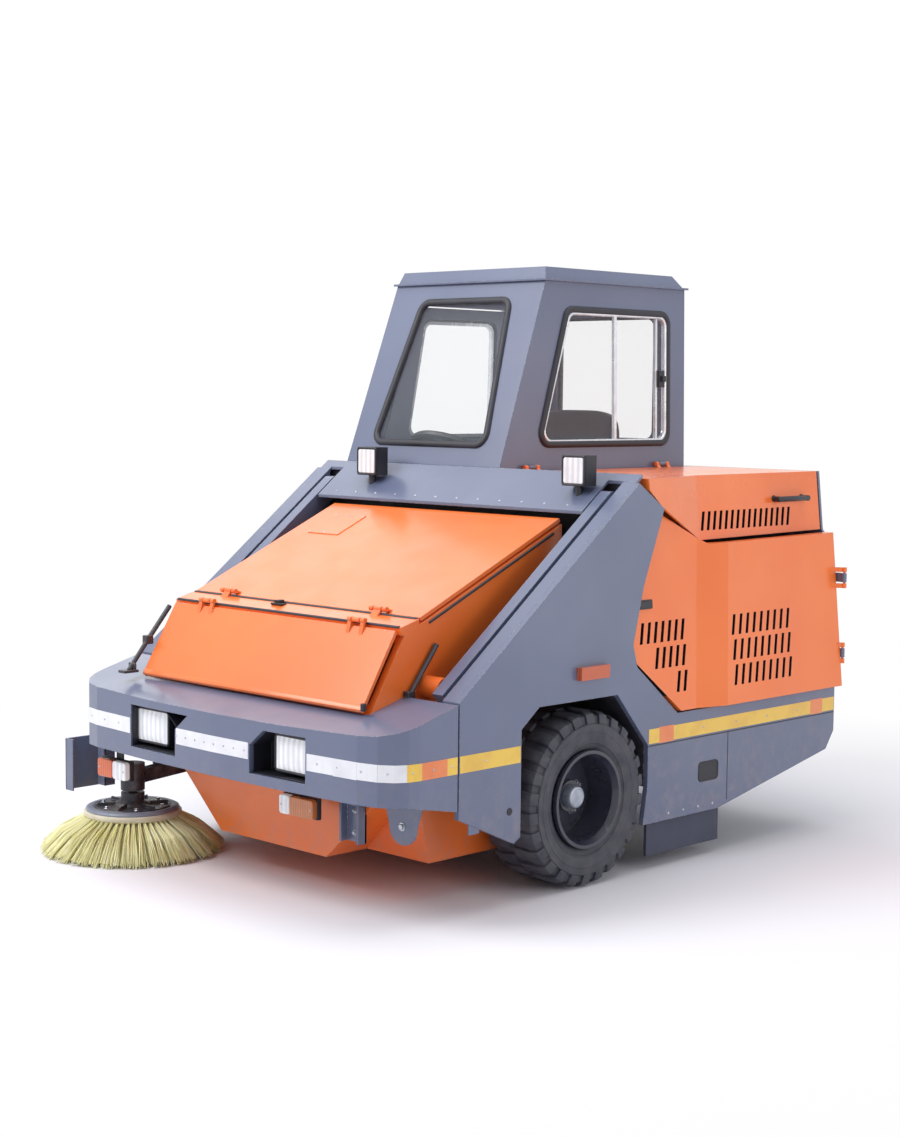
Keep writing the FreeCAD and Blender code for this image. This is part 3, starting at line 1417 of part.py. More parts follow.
def hopper():
    """The lifting hopper: tub, top lid and the dump door in its front."""
    tub = hopper_tub()
    rise = "(lid_rear_z - lid_z)/(lid_rear_station - lid_station)"
    lid_half = "hopper_half - seat_gap*16"
    outline = [
        ("lid_station", "lid_z"), ("lid_rear_station", "lid_rear_z"),
        ("lid_rear_station + lid_wall*lean_share", "lid_rear_z - lid_wall*(1 - lean_share/4)"),
        ("lid_station + lid_wall*lean_share", "lid_z - lid_wall*(1 - lean_share/4)"),
    ]
    lid = prism("YZ", outline, "-(%s)" % lid_half, lid_half)
    for side in ("-hinge_side", "hinge_side"):
        spot = (side, "lid_station - run_gap/2", "lid_z + knuckle_radius + knuckle_gap")
        leaf_y = "lid_station + 3*knuckle_radius"
        seat = (side, "lid_station - 4*knuckle_radius", "strip_z + knuckle_radius")
        tub, lid = hinge(tub, lid, spot, ACROSS, seat,
                         (side, leaf_y, "lid_z - lid_wall/2 + %s*3*knuckle_radius" % rise))
    out_y = "(strip_z - front_low_z)/sqrt((strip_z - front_low_z)^2 + (strip_station - door_low_station)^2)"
    out_z = "(strip_station - door_low_station)/sqrt((strip_z - front_low_z)^2 + (strip_station - door_low_station)^2)"
    door_outline = [
        ("door_low_station", "front_low_z"),
        ("strip_station - run_gap*%s" % out_z, "strip_z - run_gap*%s" % out_y),
        ("strip_station - run_gap*%s + sheet_wall*%s" % (out_z, out_y),
         "strip_z - run_gap*%s - sheet_wall*%s" % (out_y, out_z)),
        ("door_low_station + sheet_wall*%s" % out_y, "front_low_z - sheet_wall*%s" % out_z),
    ]
    door = prism("YZ", door_outline, "-door_half", "door_half")
    for side in ("-hinge_side", "hinge_side"):
        spot = (side, "strip_station - run_gap/2", "strip_z + knuckle_radius + knuckle_gap")
        down = "5*knuckle_radius"
        leaf = (side, "strip_station - (%s)*%s + sheet_wall/2*%s" % (down, out_z, out_y),
                "strip_z - (%s)*%s - sheet_wall/2*%s" % (down, out_y, out_z))
        seat = (side, "strip_station + 4*knuckle_radius", "strip_z")
        tub, door = hinge(tub, door, spot, ACROSS, seat, leaf)
    shaped("hopper_tub", tub.removeSplitter())
    shaped("hopper_lid", lid.removeSplitter())
    shaped("dump_door", door.removeSplitter())


BOW_SHARES = (
    (0.0, 0.012), (0.42, 0.055), (0.824, 0.206), (0.912, 0.315), (0.965, 0.515), (0.992, 0.758), (1.0, 1.0),
)


def bumper_plan(inset):
    """Plan of the bumper, bowed at the front with rounded corners."""
    half = []
    for across_share, back_share in BOW_SHARES:
        half.append(("half_width*%s - (%s)*%s" % (across_share, inset, across_share**8),
                     "bumper_side_station*%s + (%s)*%s" % (back_share, inset, 1 - back_share**2)))
    rear = "bumper_end_station + overrun*%d" % (inset != "0")
    half.append(("half_width - (%s)" % inset, rear))
    mirrored = [("-(%s)" % across, along) for across, along in reversed(half[1:])]
    return half + mirrored


def bumper():
    """Wrap-around bumper shell: sloping shelf on top, lamp recesses in front, open below and behind."""
    low, high = "bumper_end_low_z - overrun", "bumper_end_top_z + overrun"
    plane = [
        ("0", "bumper_end_station", "bumper_end_top_z"),
        ("half_width", "bumper_end_station", "bumper_end_top_z"),
        ("0", "0", "bumper_front_top_z"),
    ]
    inner_plane = [(across, along, height + " - bumper_wall") for across, along, height in plane]
    shell = trimmed(prism("XY", bumper_plan("0"), low, high), plane)
    hollow = trimmed(prism("XY", bumper_plan("bumper_wall"), low + " - overrun", high), inner_plane)
    shell = shell.cut(hollow)
    bottom = [
        ("-overrun", low), ("-overrun", "bumper_front_low_z"),
        ("bumper_corner_station", "bumper_front_low_z"),
        ("bumper_end_station + overrun", "bumper_end_low_z"), ("bumper_end_station + overrun", low),
    ]
    shell = shell.cut(prism("YZ", bottom, "-half_width - overrun", "half_width + overrun"))
    shell = shell.cut(block("-hopper_half", "hopper_half", "shelf_station", "bumper_end_station + overrun",
                            "bumper_end_low_z", "bumper_end_top_z + overrun"))
    for sign in ("1", "-1"):
        inner = "(lamp_centre - lamp_half)"
        outer = "(lamp_centre + lamp_half)"
        opening = [
            (inner, "lamp_low_z"), (outer, "lamp_low_z"), (outer, "lamp_top_z"),
            (inner + " + lamp_slant", "lamp_top_z"), (inner, "lamp_top_z - lamp_slant*slant_share"),
        ]
        case = rectangle(inner + " - lamp_wall", outer + " + lamp_wall",
                         "lamp_low_z - lamp_wall", "lamp_top_z + lamp_wall")
        opening = [("%s*%s" % (sign, across), height) for across, height in opening]
        case = [("%s*(%s)" % (sign, across), height) for across, height in case]
        pan = prism("XZ", case, "bumper_wall", "lamp_back_station").common(
            trimmed(prism("XY", bumper_plan("0"), low, high), inner_plane))
        shell = shell.fuse(pan).cut(prism("XZ", opening, "-overrun", "lamp_back_station - lamp_wall"))
    shell = shell.removeSplitter()
    shaped("bumper", shell)
    return shell


def front_lamps(shell):
    """Headlamps in their recesses and the indicators hung inside the bumper shell."""
    lamps = []
    outer = "(lamp_centre + lamp_half - lamp_wall)"
    inner = "(lamp_centre + lamp_half - 2*lens_half - lamp_wall)"
    for low, high in ((inner, outer), ("-" + outer, "-" + inner)):
        lamps.append(block(low, high, "lens_station", "lamp_back_station - lamp_wall",
                           "lens_low_z", "lens_top_z"))
    for place in ("blinker_left", "blinker_right"):
        front = place + "_station"
        back = front + " + blinker_depth"
        lamp = block(place + " - blinker_half", place + " + blinker_half", front, back,
                     "blinker_low_z", "blinker_top_z")
        low, high = place + " - blinker_half/4", place + " + blinker_half/4"
        under = "lamp_low_z - lamp_wall"
        strap = block(low, high, back, back + " + sheet_wall/2", "blinker_low_z", under)
        foot = block(low, high, "bumper_foot_station", back, under + " - sheet_wall/2", under)
        lamps.append(lamp.multiFuse([strap, foot]).cut(shell))
    shaped("front_lamps", Part.makeCompound(lamps))


def lift_arms():
    """The pair of lift arms in their slots, from the upper pin to past the hopper's pin."""
    top, tip = point("0", "arm_pivot_station", PIVOT_Z), point("0", "arm_tip_station", TIP_Z)
    run = (tip - top).normalize()
    beyond = tip + run*size("arm_beyond")
    width, depth = size("arm_out - arm_in"), size("arm_depth")
    arms = []
    for middle in ("(arm_in + arm_out)/2", "-(arm_in + arm_out)/2"):
        shift = FreeCAD.Vector(size(middle), 0, 0)
        arm = bar(top + shift, beyond + shift, ACROSS, width, depth)
        start = top + shift - ACROSS*width/2
        arm = arm.fuse(Part.makeCylinder(depth/2, width, start, ACROSS))
        for spot in (top, tip):
            side = spot + shift - ACROSS*width
            arm = arm.cut(Part.makeCylinder(size("pin_radius + pin_clearance"), 2*width, side, ACROSS))
        arms.append(arm.removeSplitter())
    shaped("lift_arms", Part.makeCompound(arms))


def side_brush():
    """Side brush with its ring of bristles, on an arm that floats about a pin at the side panel."""
    across = "-brush_out"
    pivot = ("brush_pivot_station", "brush_pivot_z")
    panel = "panel_wall - half_width"
    pin = rod(panel, "3*brush_arm_half/2 - brush_out", *pivot, "brush_pin_radius")
    flange = rod(panel, panel + " + sheet_wall", *pivot, "2*brush_pin_radius")
    shaped("brush_pivot", pin.fuse(flange))
    half = "brush_arm_half"
    beam = [
        ("brush_station", "brush_arm_z - " + half), ("brush_pivot_station", "brush_pivot_z - " + half),
        ("brush_pivot_station", "brush_pivot_z + " + half), ("brush_station", "brush_arm_z + " + half),
    ]
    arm = prism("YZ", beam, "-brush_out - " + half, half + " - brush_out")
    eye = rod("-brush_out - " + half, half + " - brush_out", *pivot, "3*brush_arm_half/2")
    motor = post(across, "brush_station", "brush_motor_low_z", "brush_motor_top_z", "brush_motor_radius")
    shaft = post(across, "brush_station", "brush_ring_z + run_gap", "brush_motor_top_z - run_gap",
                 "brush_pin_radius")
    arm = arm.multiFuse([eye, motor, shaft])
    hole = rod("-brush_out - 2*" + half, "2*brush_arm_half - brush_out", *pivot,
               "brush_pin_radius + pin_clearance")
    shaped("side_brush_arm", arm.cut(hole).removeSplitter())
    body = doc.addObject("PartDesign::Body", "side_brush")
    top = "brush_ring_z + brush_ring_wall"
    bore = "brush_pin_radius + pin_clearance"
    disc = [
        (bore, "brush_ring_z"), ("brush_ring_radius", "brush_ring_z"), ("brush_ring_radius", top),
        ("3*brush_pin_radius", top), ("3*brush_pin_radius", "brush_motor_low_z - run_gap"),
        (bore, "brush_motor_low_z - run_gap"),
    ]
    spin(body, disc)
    tine = [
        ("brush_ring_radius - 2*brush_ring_wall", "brush_ring_z"), ("brush_ring_radius", "brush_ring_z"),
        ("brush_radius", "bristle_floor"), ("brush_radius - brush_ring_wall", "bristle_floor"),
    ]
    blade = pad(body, "XZ", [tine], "-tine_half", "tine_half")
    around(body, [blade], "Z_Axis", "tine_count")
    keep(body, "side_brush", (across, "brush_station", "0"))


def main_brush():
    """Full-width reel brush on a carrier of two plates under the frame."""
    body = doc.addObject("PartDesign::Body", "main_brush")
    bore = "brush_pin_radius + pin_clearance"
    core = [("-reel_half", bore), ("reel_half", bore), ("reel_half", "reel_core_radius"),
            ("-reel_half", "reel_core_radius")]
    revolve(body, core)
    tufts = []
    count = int(size("tuft_count"))
    pitch = "2*reel_half/tuft_count"
    for k in range(count):
        start = "-reel_half + (%s)*%s" % (pitch, k)
        tufts.append(rectangle(start, start + " + (%s)*tuft_share" % pitch, "-tine_half", "tine_half"))
    row = pad(body, "XY", tufts, "reel_core_radius - tine_half", "reel_radius - bristle_floor")
    around(body, [row], "X_Axis", "tuft_rows")
    keep(body, "main_brush", ("0", "reel_station", "reel_radius"))
    plates = []
    for low, high in (("reel_half + run_gap", "reel_half + run_gap + reel_carrier"),
                      ("-reel_half - run_gap - reel_carrier", "-reel_half - run_gap")):
        outline = [
            ("cross_station", "frame_z"), ("cross_station + frame_beam", "frame_z"),
            ("reel_station + frame_beam/2", "reel_radius"), ("reel_station", "reel_radius - frame_beam/2"),
            ("reel_station - frame_beam/2", "reel_radius"),
        ]
        plates.append(prism("YZ", outline, low, high))
    stub = "reel_half - 4*brush_pin_radius"
    plates[0] = plates[0].fuse(rod(stub, "reel_half + run_gap + reel_carrier", "reel_station", "reel_radius",
                                   "brush_pin_radius"))
    plates[1] = plates[1].fuse(rod("-reel_half - run_gap - reel_carrier", "-(%s)" % stub, "reel_station",
                                   "reel_radius", "brush_pin_radius"))
    shaped("brush_carrier", Part.makeCompound(plates))


def work_lamps():
    """Two forward work lamps on short feet on the cowl."""
    under_cowl = [
        ("cowl_low_station", slope_z("cowl_low_station", "-seat_gap")),
        ("cowl_station", slope_z("cowl_station", "-seat_gap")),
        ("cowl_station", "deck_z"), ("cowl_low_station", "deck_z"),
    ]
    lamps = []
    for across in ("work_lamp_left", "work_lamp_right"):
        half = "work_lamp_side/2"
        foot_z = "work_lamp_z - " + half
        lamp = block(across + " - " + half, across + " + " + half, "work_lamp_station - work_lamp_depth/2",
                     "work_lamp_station + work_lamp_depth/2", foot_z, "work_lamp_z + " + half)
        foot = post(across, "work_lamp_station", "work_lamp_z - work_lamp_side", foot_z, "sheet_wall")
        below = prism("YZ", under_cowl, across + " - " + half, across + " + " + half)
        lamps.append(lamp.fuse(foot.cut(below)))
    shaped("work_lamps", Part.makeCompound(lamps))


def marker_lamps():
    """Side marker lamps on the side panels."""
    lamps = []
    for low, high in (("half_width", "half_width + marker_out"), ("-half_width - marker_out", "-half_width")):
        lamps.append(block(low, high, "marker_station", "marker_end", "marker_low_z", "marker_top_z"))
    shaped("marker_lamps", Part.makeCompound(lamps))


def brush_skirts():
    """Rubber skirts beside the main brush, hung inside the side panels."""
    skirts = []
    outer = "half_width - panel_wall"
    for low, high in ((outer + " - sheet_wall", outer), ("-(%s)" % outer, "-(%s) + sheet_wall" % outer)):
        skirts.append(block(low, high, "skirt_station", "skirt_end", "skirt_low_z", "sill_z + overrun"))
    shaped("brush_skirts", Part.makeCompound(skirts))


def main():
    """Build every sub-part, check it and write its file."""
    side_panels()
    wings()
    wheel_liners()
    cowl()
    bulkhead()
    chassis()
    front_axle()
    front_wheels()
    rear_wheel()
    shell = engine_hood(cab())
    shaped("cab_shell", shell.removeSplitter())
    cab_roof()
    cab_floor()
    driver_seat()
    steering()
    shaped("tail_panel", engine_door(tail_panel()))
    tail_lamps()
    side_decks()
    engine_block()
    hopper()
    front_lamps(bumper())
    lift_arms()
    side_brush()
    main_brush()
    work_lamps()
    marker_lamps()
    brush_skirts()
    doc.recompute()
    for piece in PIECES:
        if "Invalid" in piece.State or "Error" in piece.State:
            raise ValueError("%s: %s" % (piece.Label, piece.State))
        if piece.Shape.isNull() or not piece.Shape.isValid():
            raise ValueError("%s has no valid shape" % piece.Label)
        piece.Shape.exportStep("parts/%s.step" % piece.Label)


main()
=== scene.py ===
# %% [markdown]
# # A compact road sweeper
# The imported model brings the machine's real panels, wheels and doors. This lesson dresses them: paint,
# glass, rubber, bristles, tape, lamps, struts and a seat. Nothing that CAD made is moved.

# %% Load the machine
import math
import random
import bmesh
import bpy
from mathutils import Matrix, Vector
from mathutils.bvhtree import BVHTree


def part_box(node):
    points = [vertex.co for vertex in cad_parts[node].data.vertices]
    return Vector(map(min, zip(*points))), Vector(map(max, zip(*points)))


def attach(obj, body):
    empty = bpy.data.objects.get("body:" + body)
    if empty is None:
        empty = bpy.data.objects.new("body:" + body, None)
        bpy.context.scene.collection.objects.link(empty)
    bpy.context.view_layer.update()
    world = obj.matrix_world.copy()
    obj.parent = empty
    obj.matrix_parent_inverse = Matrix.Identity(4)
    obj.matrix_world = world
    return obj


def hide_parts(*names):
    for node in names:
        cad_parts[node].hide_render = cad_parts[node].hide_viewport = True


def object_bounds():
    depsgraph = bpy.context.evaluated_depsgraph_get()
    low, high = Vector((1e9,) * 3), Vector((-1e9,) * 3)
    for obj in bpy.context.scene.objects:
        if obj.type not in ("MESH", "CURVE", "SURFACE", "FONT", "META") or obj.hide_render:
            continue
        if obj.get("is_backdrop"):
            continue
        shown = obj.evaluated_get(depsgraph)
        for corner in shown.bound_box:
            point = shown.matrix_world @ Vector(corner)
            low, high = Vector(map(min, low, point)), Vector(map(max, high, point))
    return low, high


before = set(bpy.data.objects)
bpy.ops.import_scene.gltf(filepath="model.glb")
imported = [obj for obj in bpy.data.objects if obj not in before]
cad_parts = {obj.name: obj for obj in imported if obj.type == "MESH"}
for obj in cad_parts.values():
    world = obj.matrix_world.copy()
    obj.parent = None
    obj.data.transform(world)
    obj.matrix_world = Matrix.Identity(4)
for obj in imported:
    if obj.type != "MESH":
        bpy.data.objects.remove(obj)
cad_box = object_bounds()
scene = bpy.context.scene

# %% [markdown]
# ## The machine's own measures
# Makers measure a vehicle from its centre plane, its nose and the floor, in millimetres. The side panels
# give the centre plane, and their rear edge is 2498 mm behind the nose, so two boxes are all we need.

# %% Measures
TAIL_MM = 2498
left_box, right_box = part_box("side_panel_left"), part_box("side_panel_right")
CENTRE = (left_box[1].x + right_box[0].x) / 2
NOSE = left_box[1].y - TAIL_MM / 1000
HALF_MM = round((left_box[1].x - CENTRE) * 1000)


def at(across, along, up):
    """The point so many millimetres left of the centre plane, behind the nose and above the floor."""
    return Vector((CENTRE + across / 1000, NOSE + along / 1000, up / 1000))


LEFT, BACK, UP = Vector((1, 0, 0)), Vector((0, 1, 0)), Vector((0, 0, 1))
print("centre plane at", round(CENTRE, 4), "nose at", round(NOSE, 4), "half width", HALF_MM)

# %% [markdown]
# ## Camera
# The photograph was taken from ahead of the machine's left front corner, a little below the cab's windows.
# Its place was found from the straight edges of the panels. The shift only centres the picture.

# %% Camera
YAW, PITCH, ROLL = math.radians(44.474), math.radians(4.886), math.radians(0.623)
camera = bpy.data.objects.new("camera", bpy.data.cameras.new("camera"))
scene.collection.objects.link(camera)
scene.camera = camera
ahead = Vector((-math.sin(YAW) * math.cos(PITCH), math.cos(YAW) * math.cos(PITCH), -math.sin(PITCH)))
level = ahead.cross(UP).normalized()
rise = level.cross(ahead)
side = level * math.cos(ROLL) + rise * math.sin(ROLL)
top = rise * math.cos(ROLL) - level * math.sin(ROLL)
turn = Matrix((side, top, -ahead)).transposed().to_4x4()
camera.matrix_world = Matrix.Translation((5.305, -5.3465, 1.708)) @ turn
camera.data.lens = 62.45
camera.data.sensor_width = 36
camera.data.shift_x = 0.00057
camera.data.shift_y = -0.00496
print("camera", [round(v, 3) for v in camera.location])

# %% [markdown]
# ## Nodes and colours
# Every finish is a small tree of shader nodes. One function adds a node with its settings and its links, so
# a finish reads like a list. Colours are written as in a paint chart and turned to linear light once.

# %% Helpers for finishes


def linear(chart):
    """A colour from its sRGB hex digits, in linear light."""
    shares = [int(chart[k:k + 2], 16) / 255 for k in (0, 2, 4)]
    return [s / 12.92 if s <= 0.04045 else ((s + 0.055) / 1.055) ** 2.4 for s in shares] + [1]


def feed(tree, value, socket):
    """Set a socket to a value, or link it from a socket or from a node's first output in use."""
    if isinstance(value, bpy.types.Node):
        value = next(out for out in value.outputs if out.enabled)
    if isinstance(value, bpy.types.NodeSocket):
        tree.links.new(value, socket)
    else:
        socket.default_value = value


def add(tree, kind, inputs=None, **fields):
    """Add a node. Inputs are values, sockets or nodes, by the socket's name or number."""
    made = tree.nodes.new("ShaderNode" + kind)
    for name, value in fields.items():
        setattr(made, name, value)
    for name, value in (inputs or {}).items():
        feed(tree, value, made.inputs[name])
    return made


def per_mm(millimetres):
    """Texture scale at which one feature of a pattern is that long."""
    return 1000 / millimetres


WAVE_TURN = 6.283
FIRST, SECOND = 6, 7


def finish(name, coat):
    """A new material. The function coat fills its tree and returns the shader's inputs."""
    made = bpy.data.materials.new(name)
    made.use_nodes = True
    tree = made.node_tree
    tree.nodes.clear()
    shader = add(tree, "BsdfPrincipled")
    place = add(tree, "TexCoord").outputs["Object"]
    for socket, value in coat(tree, place).items():
        feed(tree, value, shader.inputs[socket])
    add(tree, "OutputMaterial", {"Surface": shader})
    return made


# %% [markdown]
# ## Sprayed enamel on sheet steel
# The panels are bent steel, primed and sprayed. The eye reads sprayed paint by three things: a sheen that
# swims a little (orange peel), edges that catch the light because the paint rolls over them, and road dust
# that settles low on the machine and dulls it. The bevel node rounds the edges in the shading, and its edge
# mask also lays light grey on them in specks: partly bare metal where paint wore, partly a painted highlight.

# %% Enamels
SLOT_SHADE_TURN, DUST_FULL = 0.6, 0.12
ORANGE, DEEP_ORANGE = "FC7E34", "F6762E"


def enamel(name, paint, deep, rough, coat_weight=0.5, dust_top_mm=600, peel_mm=7, louvres=()):
    """Sprayed enamel. Louvres are boxes of (near, far, low, high) mm where the slot walls get painted shade."""

    def coat(tree, place):
        drift = add(tree, "TexNoise", {"Vector": place, "Scale": per_mm(420), "Detail": 3})
        drift = add(tree, "MapRange", {"Value": drift, "From Min": 0.35, "From Max": 0.65})
        shade = add(tree, "Mix", {0: drift, FIRST: linear(paint), SECOND: linear(deep)}, data_type="RGBA")
        # dust thins out upwards and lies in patches
        split = add(tree, "SeparateXYZ", {"Vector": place})
        low = add(tree, "MapRange", {"Value": split.outputs["Z"], "From Min": dust_top_mm / 1000,
                                     "From Max": DUST_FULL})
        patch = add(tree, "TexNoise", {"Vector": place, "Scale": per_mm(60), "Detail": 6,
                                       "Roughness": 0.65})
        patch = add(tree, "MapRange", {"Value": patch, "From Min": 0.45, "From Max": 0.75, "To Max": 0.4})
        veil = add(tree, "Math", {0: low, 1: patch}, operation="MULTIPLY")
        colour = add(tree, "Mix", {0: veil, FIRST: shade, SECOND: linear("A8948A")}, data_type="RGBA")
        # paint is thin on a sharp edge, so a little bright metal shows there in specks; the light grey
        # along the edges is also a painted highlight
        edge = add(tree, "Bevel", {"Radius": 0.004}, samples=4)
        facing = add(tree, "NewGeometry").outputs["Normal"]
        bend = add(tree, "VectorMath", {0: edge, 1: facing}, operation="DOT_PRODUCT").outputs["Value"]
        edge_wear_and_highlight = add(tree, "MapRange", {"Value": bend, "From Min": 0.97, "From Max": 0.8})
        speck = add(tree, "TexNoise", {"Vector": place, "Scale": per_mm(9), "Detail": 5})
        speck = add(tree, "MapRange", {"Value": speck, "From Min": 0.52, "From Max": 0.64})
        edge_wear_and_highlight = add(tree, "Math", {0: edge_wear_and_highlight, 1: speck}, operation="MULTIPLY")
        colour = add(tree, "Mix", {0: edge_wear_and_highlight, FIRST: colour, SECOND: linear("C9C6C8")}, data_type="RGBA")
        # painted shade: in the louvre boxes the faces that don't point sideways are painted near black
        if louvres:
            own = add(tree, "SeparateXYZ", {"Vector": add(tree, "TexCoord").outputs["Normal"]})
            across = add(tree, "Math", {0: own}, operation="ABSOLUTE")
            slot_shade = add(tree, "Math", {0: across, 1: SLOT_SHADE_TURN}, operation="LESS_THAN")
            inside = 0.0
            for near, far, bottom, top in louvres:
                middle, half = at(0, (near + far) / 2, (bottom + top) / 2), (far - near) / 2000
                run = add(tree, "Math", {0: split.outputs["Y"], 1: middle.y, 2: half}, operation="COMPARE")
                rise = add(tree, "Math", {0: split.outputs["Z"], 1: middle.z, 2: (top - bottom) / 2000},
                           operation="COMPARE")
                both = add(tree, "Math", {0: run, 1: rise}, operation="MULTIPLY")
                inside = add(tree, "Math", {0: both, 1: inside}, operation="MAXIMUM")
            slot_shade = add(tree, "Math", {0: slot_shade, 1: inside}, operation="MULTIPLY")
            colour = add(tree, "Mix", {0: slot_shade, FIRST: colour, SECOND: linear("1A1A20")}, data_type="RGBA")
        smear = add(tree, "TexNoise", {"Vector": place, "Scale": per_mm(150), "Detail": 5})
        roughness = add(tree, "MapRange", {"Value": smear, "From Min": 0.3, "From Max": 0.7,
                                           "To Min": rough - 0.06, "To Max": rough + 0.08})
        # real orange peel is about 3 mm across; it is drawn wider so that it shows at this size
        peel = add(tree, "TexNoise", {"Vector": place, "Scale": per_mm(peel_mm), "Detail": 1})
        peel = add(tree, "Bump", {"Height": peel, "Distance": 0.00005, "Strength": 0.25, "Normal": edge})
        return {"Base Color": colour, "Roughness": roughness, "Normal": peel, "IOR": 1.5,
                "Coat Weight": coat_weight, "Coat Roughness": 0.14}

    return finish(name, coat)


DOOR_LOUVRES = ((1225, 1560, 630, 930), (1760, 2172, 630, 930))
HOOD_LOUVRES = ((1690, 2296, 1206, 1290),)
orange_enamel = enamel("orange_enamel_sprayed", ORANGE, DEEP_ORANGE, 0.34, 0.35, 240)
door_enamel = enamel("orange_door_enamel_sprayed", ORANGE, DEEP_ORANGE, 0.34, 0.35, 240,
                     louvres=DOOR_LOUVRES)
hood_enamel = enamel("orange_gelcoat_sprayed", ORANGE, DEEP_ORANGE, 0.3, 0.4, 240,
                     louvres=HOOD_LOUVRES)
slate_enamel = enamel("slate_enamel_sprayed", "69728D", "626B87", 0.38)
frame_enamel = enamel("black_chassis_enamel_sprayed", "2A2B34", "30313A", 0.5, 0.2, 900, 5)
print("enamels done")

# %% [markdown]
# ## Rubber, plastic, metal and glass
# Rubber is dark but never black: dust fills its pores and greys it. Moulded plastic has a fine grain from
# the tool. Bare metals keep their default refraction, and only colour and roughness tell them apart.

# %% Plain finishes


def grained(name, slot, first, second, rough, grain_mm, depth_mm, blotch_mm=80, **extra):
    """A finish of two shades in blotches with a fine grain bump."""

    def coat(tree, place):
        blotch = add(tree, "TexNoise", {"Vector": place, "Scale": per_mm(blotch_mm), "Detail": 5})
        blotch = add(tree, "MapRange", {"Value": blotch, "From Min": 0.38, "From Max": 0.66})
        colour = add(tree, "Mix", {0: blotch, FIRST: linear(first), SECOND: linear(second)}, data_type="RGBA")
        roughness = add(tree, "MapRange", {"Value": blotch, "To Min": rough - 0.05, "To Max": rough + 0.1})
        edge = add(tree, "Bevel", {"Radius": 0.002}, samples=4)
        grain = add(tree, "TexNoise", {"Vector": place, "Scale": per_mm(grain_mm), "Detail": 2})
        grain = add(tree, "Bump", {"Height": grain, "Distance": depth_mm / 1000, "Strength": 0.5,
                                   "Normal": edge})
        return {"Base Color": colour, "Roughness": roughness, "Normal": grain, **extra}

    return finish(name, coat)


# the tool's grain makes moulded ABS satin, not shiny
moulded_abs = grained("black_abs_moulded", "black_plastic", "1E1F27", "282932", 0.42, 2.5, 0.08)
# extruded rubber is smooth along its run and dull with dust
seal_rubber = grained("epdm_rubber_extruded", "rubber", "24252D", "33343E", 0.5, 3, 0.1)
# rolled sheet rubber has a faint cloth print and greys outdoors
skirt_rubber = grained("ply_rubber_sheet_rolled", "rubber", "3C3F52", "4A4C5E", 0.6, 4, 0.15, 140)
# carbon black with dust in the mould's texture
tyre_rubber = grained("tyre_rubber_moulded", "tyre", "3C3D47", "55545B", 0.66, 3, 0.3, 55)
# dipped enamel pools into a smooth, glossy skin
rim_enamel = grained("black_wheel_enamel_dipped", "rim", "30323F", "3A3C4B", 0.3, 6, 0.05, 60,
                     **{"Coat Weight": 0.4})
# the sand mould leaves a pebbled skin that rusts a little
cast_iron = grained("iron_sand_cast", "iron", "4B4C54", "5E5C5E", 0.62, 4, 0.35, 90, Metallic=0.4)
# zinc plate is bright with a slight blue cast and dull spots
zinc_plate = grained("steel_zinc_plated", "iron", "C2C6CE", "A4A8B2", 0.32, 3, 0.05, 30, Metallic=0.9)
# anodising turns aluminium silky, with no sharp mirror in it
anodised_aluminium = grained("aluminium_anodised", "iron", "E2E5EA", "D2D6DE", 0.3, 2, 0.03, 60, Metallic=0.6)
# die casting leaves a fine orange peel in the grey skin
cap_alloy = grained("alloy_cap_die_cast", "iron", "B4BAC6", "A0A8B6", 0.42, 3, 0.12, 25, Metallic=0.5)
# polypropylene is waxy and its colour goes uneven with age
cream_plastic = grained("cream_polypropylene_moulded", "bristle", "E4DDC6", "D3CAB0", 0.5, 4, 0.1, 60)
# a pressed steel ring in the machine's grey
ring_enamel = grained("grey_ring_enamel_dipped", "grey_panel", "8A8F9E", "7C8292", 0.4, 4, 0.05, 60)


def glazed(name, tint, rough, alpha, streak_mm=300):
    """Toughened glass: clear, with faint wiped streaks in its gloss."""

    def coat(tree, place):
        streak = add(tree, "TexNoise", {"Vector": place, "Scale": per_mm(streak_mm), "Detail": 4})
        roughness = add(tree, "MapRange", {"Value": streak, "From Min": 0.35, "From Max": 0.7,
                                           "To Min": rough, "To Max": rough + 0.03})
        wave = add(tree, "Bump", {"Height": streak, "Distance": 0.00002, "Strength": 0.2})
        return {"Base Color": linear(tint), "Roughness": roughness, "Alpha": alpha, "IOR": 1.5,
                "Normal": wave}

    return finish(name, coat)


cab_glazing = glazed("toughened_glass_floated", "E6EEF4", 0.02, 0.06)


def ribbed_lens(name, bright, dim, rib_mm, clear, painted_glow=0.0):
    """A moulded acrylic lens: upright ribs, with the light they break painted as bright and dim bars."""

    def coat(tree, place):
        ribs = add(tree, "TexWave", {"Vector": place, "Scale": per_mm(rib_mm) / WAVE_TURN, "Distortion": 0.0},
                   wave_type="BANDS", bands_direction="X").outputs["Fac"]
        blotch = add(tree, "TexNoise", {"Vector": place, "Scale": per_mm(45), "Detail": 2})
        light = add(tree, "Math", {0: ribs, 1: blotch}, operation="MULTIPLY")
        light = add(tree, "MapRange", {"Value": light, "From Min": 0.05, "From Max": 0.6})
        colour = add(tree, "Mix", {0: light, FIRST: linear(dim), SECOND: linear(bright)}, data_type="RGBA")
        flute = add(tree, "Bump", {"Height": ribs, "Distance": 0.0006, "Strength": 0.6})
        # the emission is a faint painted glow that brightens the lens
        return {"Base Color": colour, "Roughness": 0.16, "IOR": 1.49, "Normal": flute,
                "Coat Weight": 0.6, "Coat Roughness": 0.04, "Transmission Weight": clear,
                "Emission Color": linear(bright), "Emission Strength": painted_glow}

    return finish(name, coat)


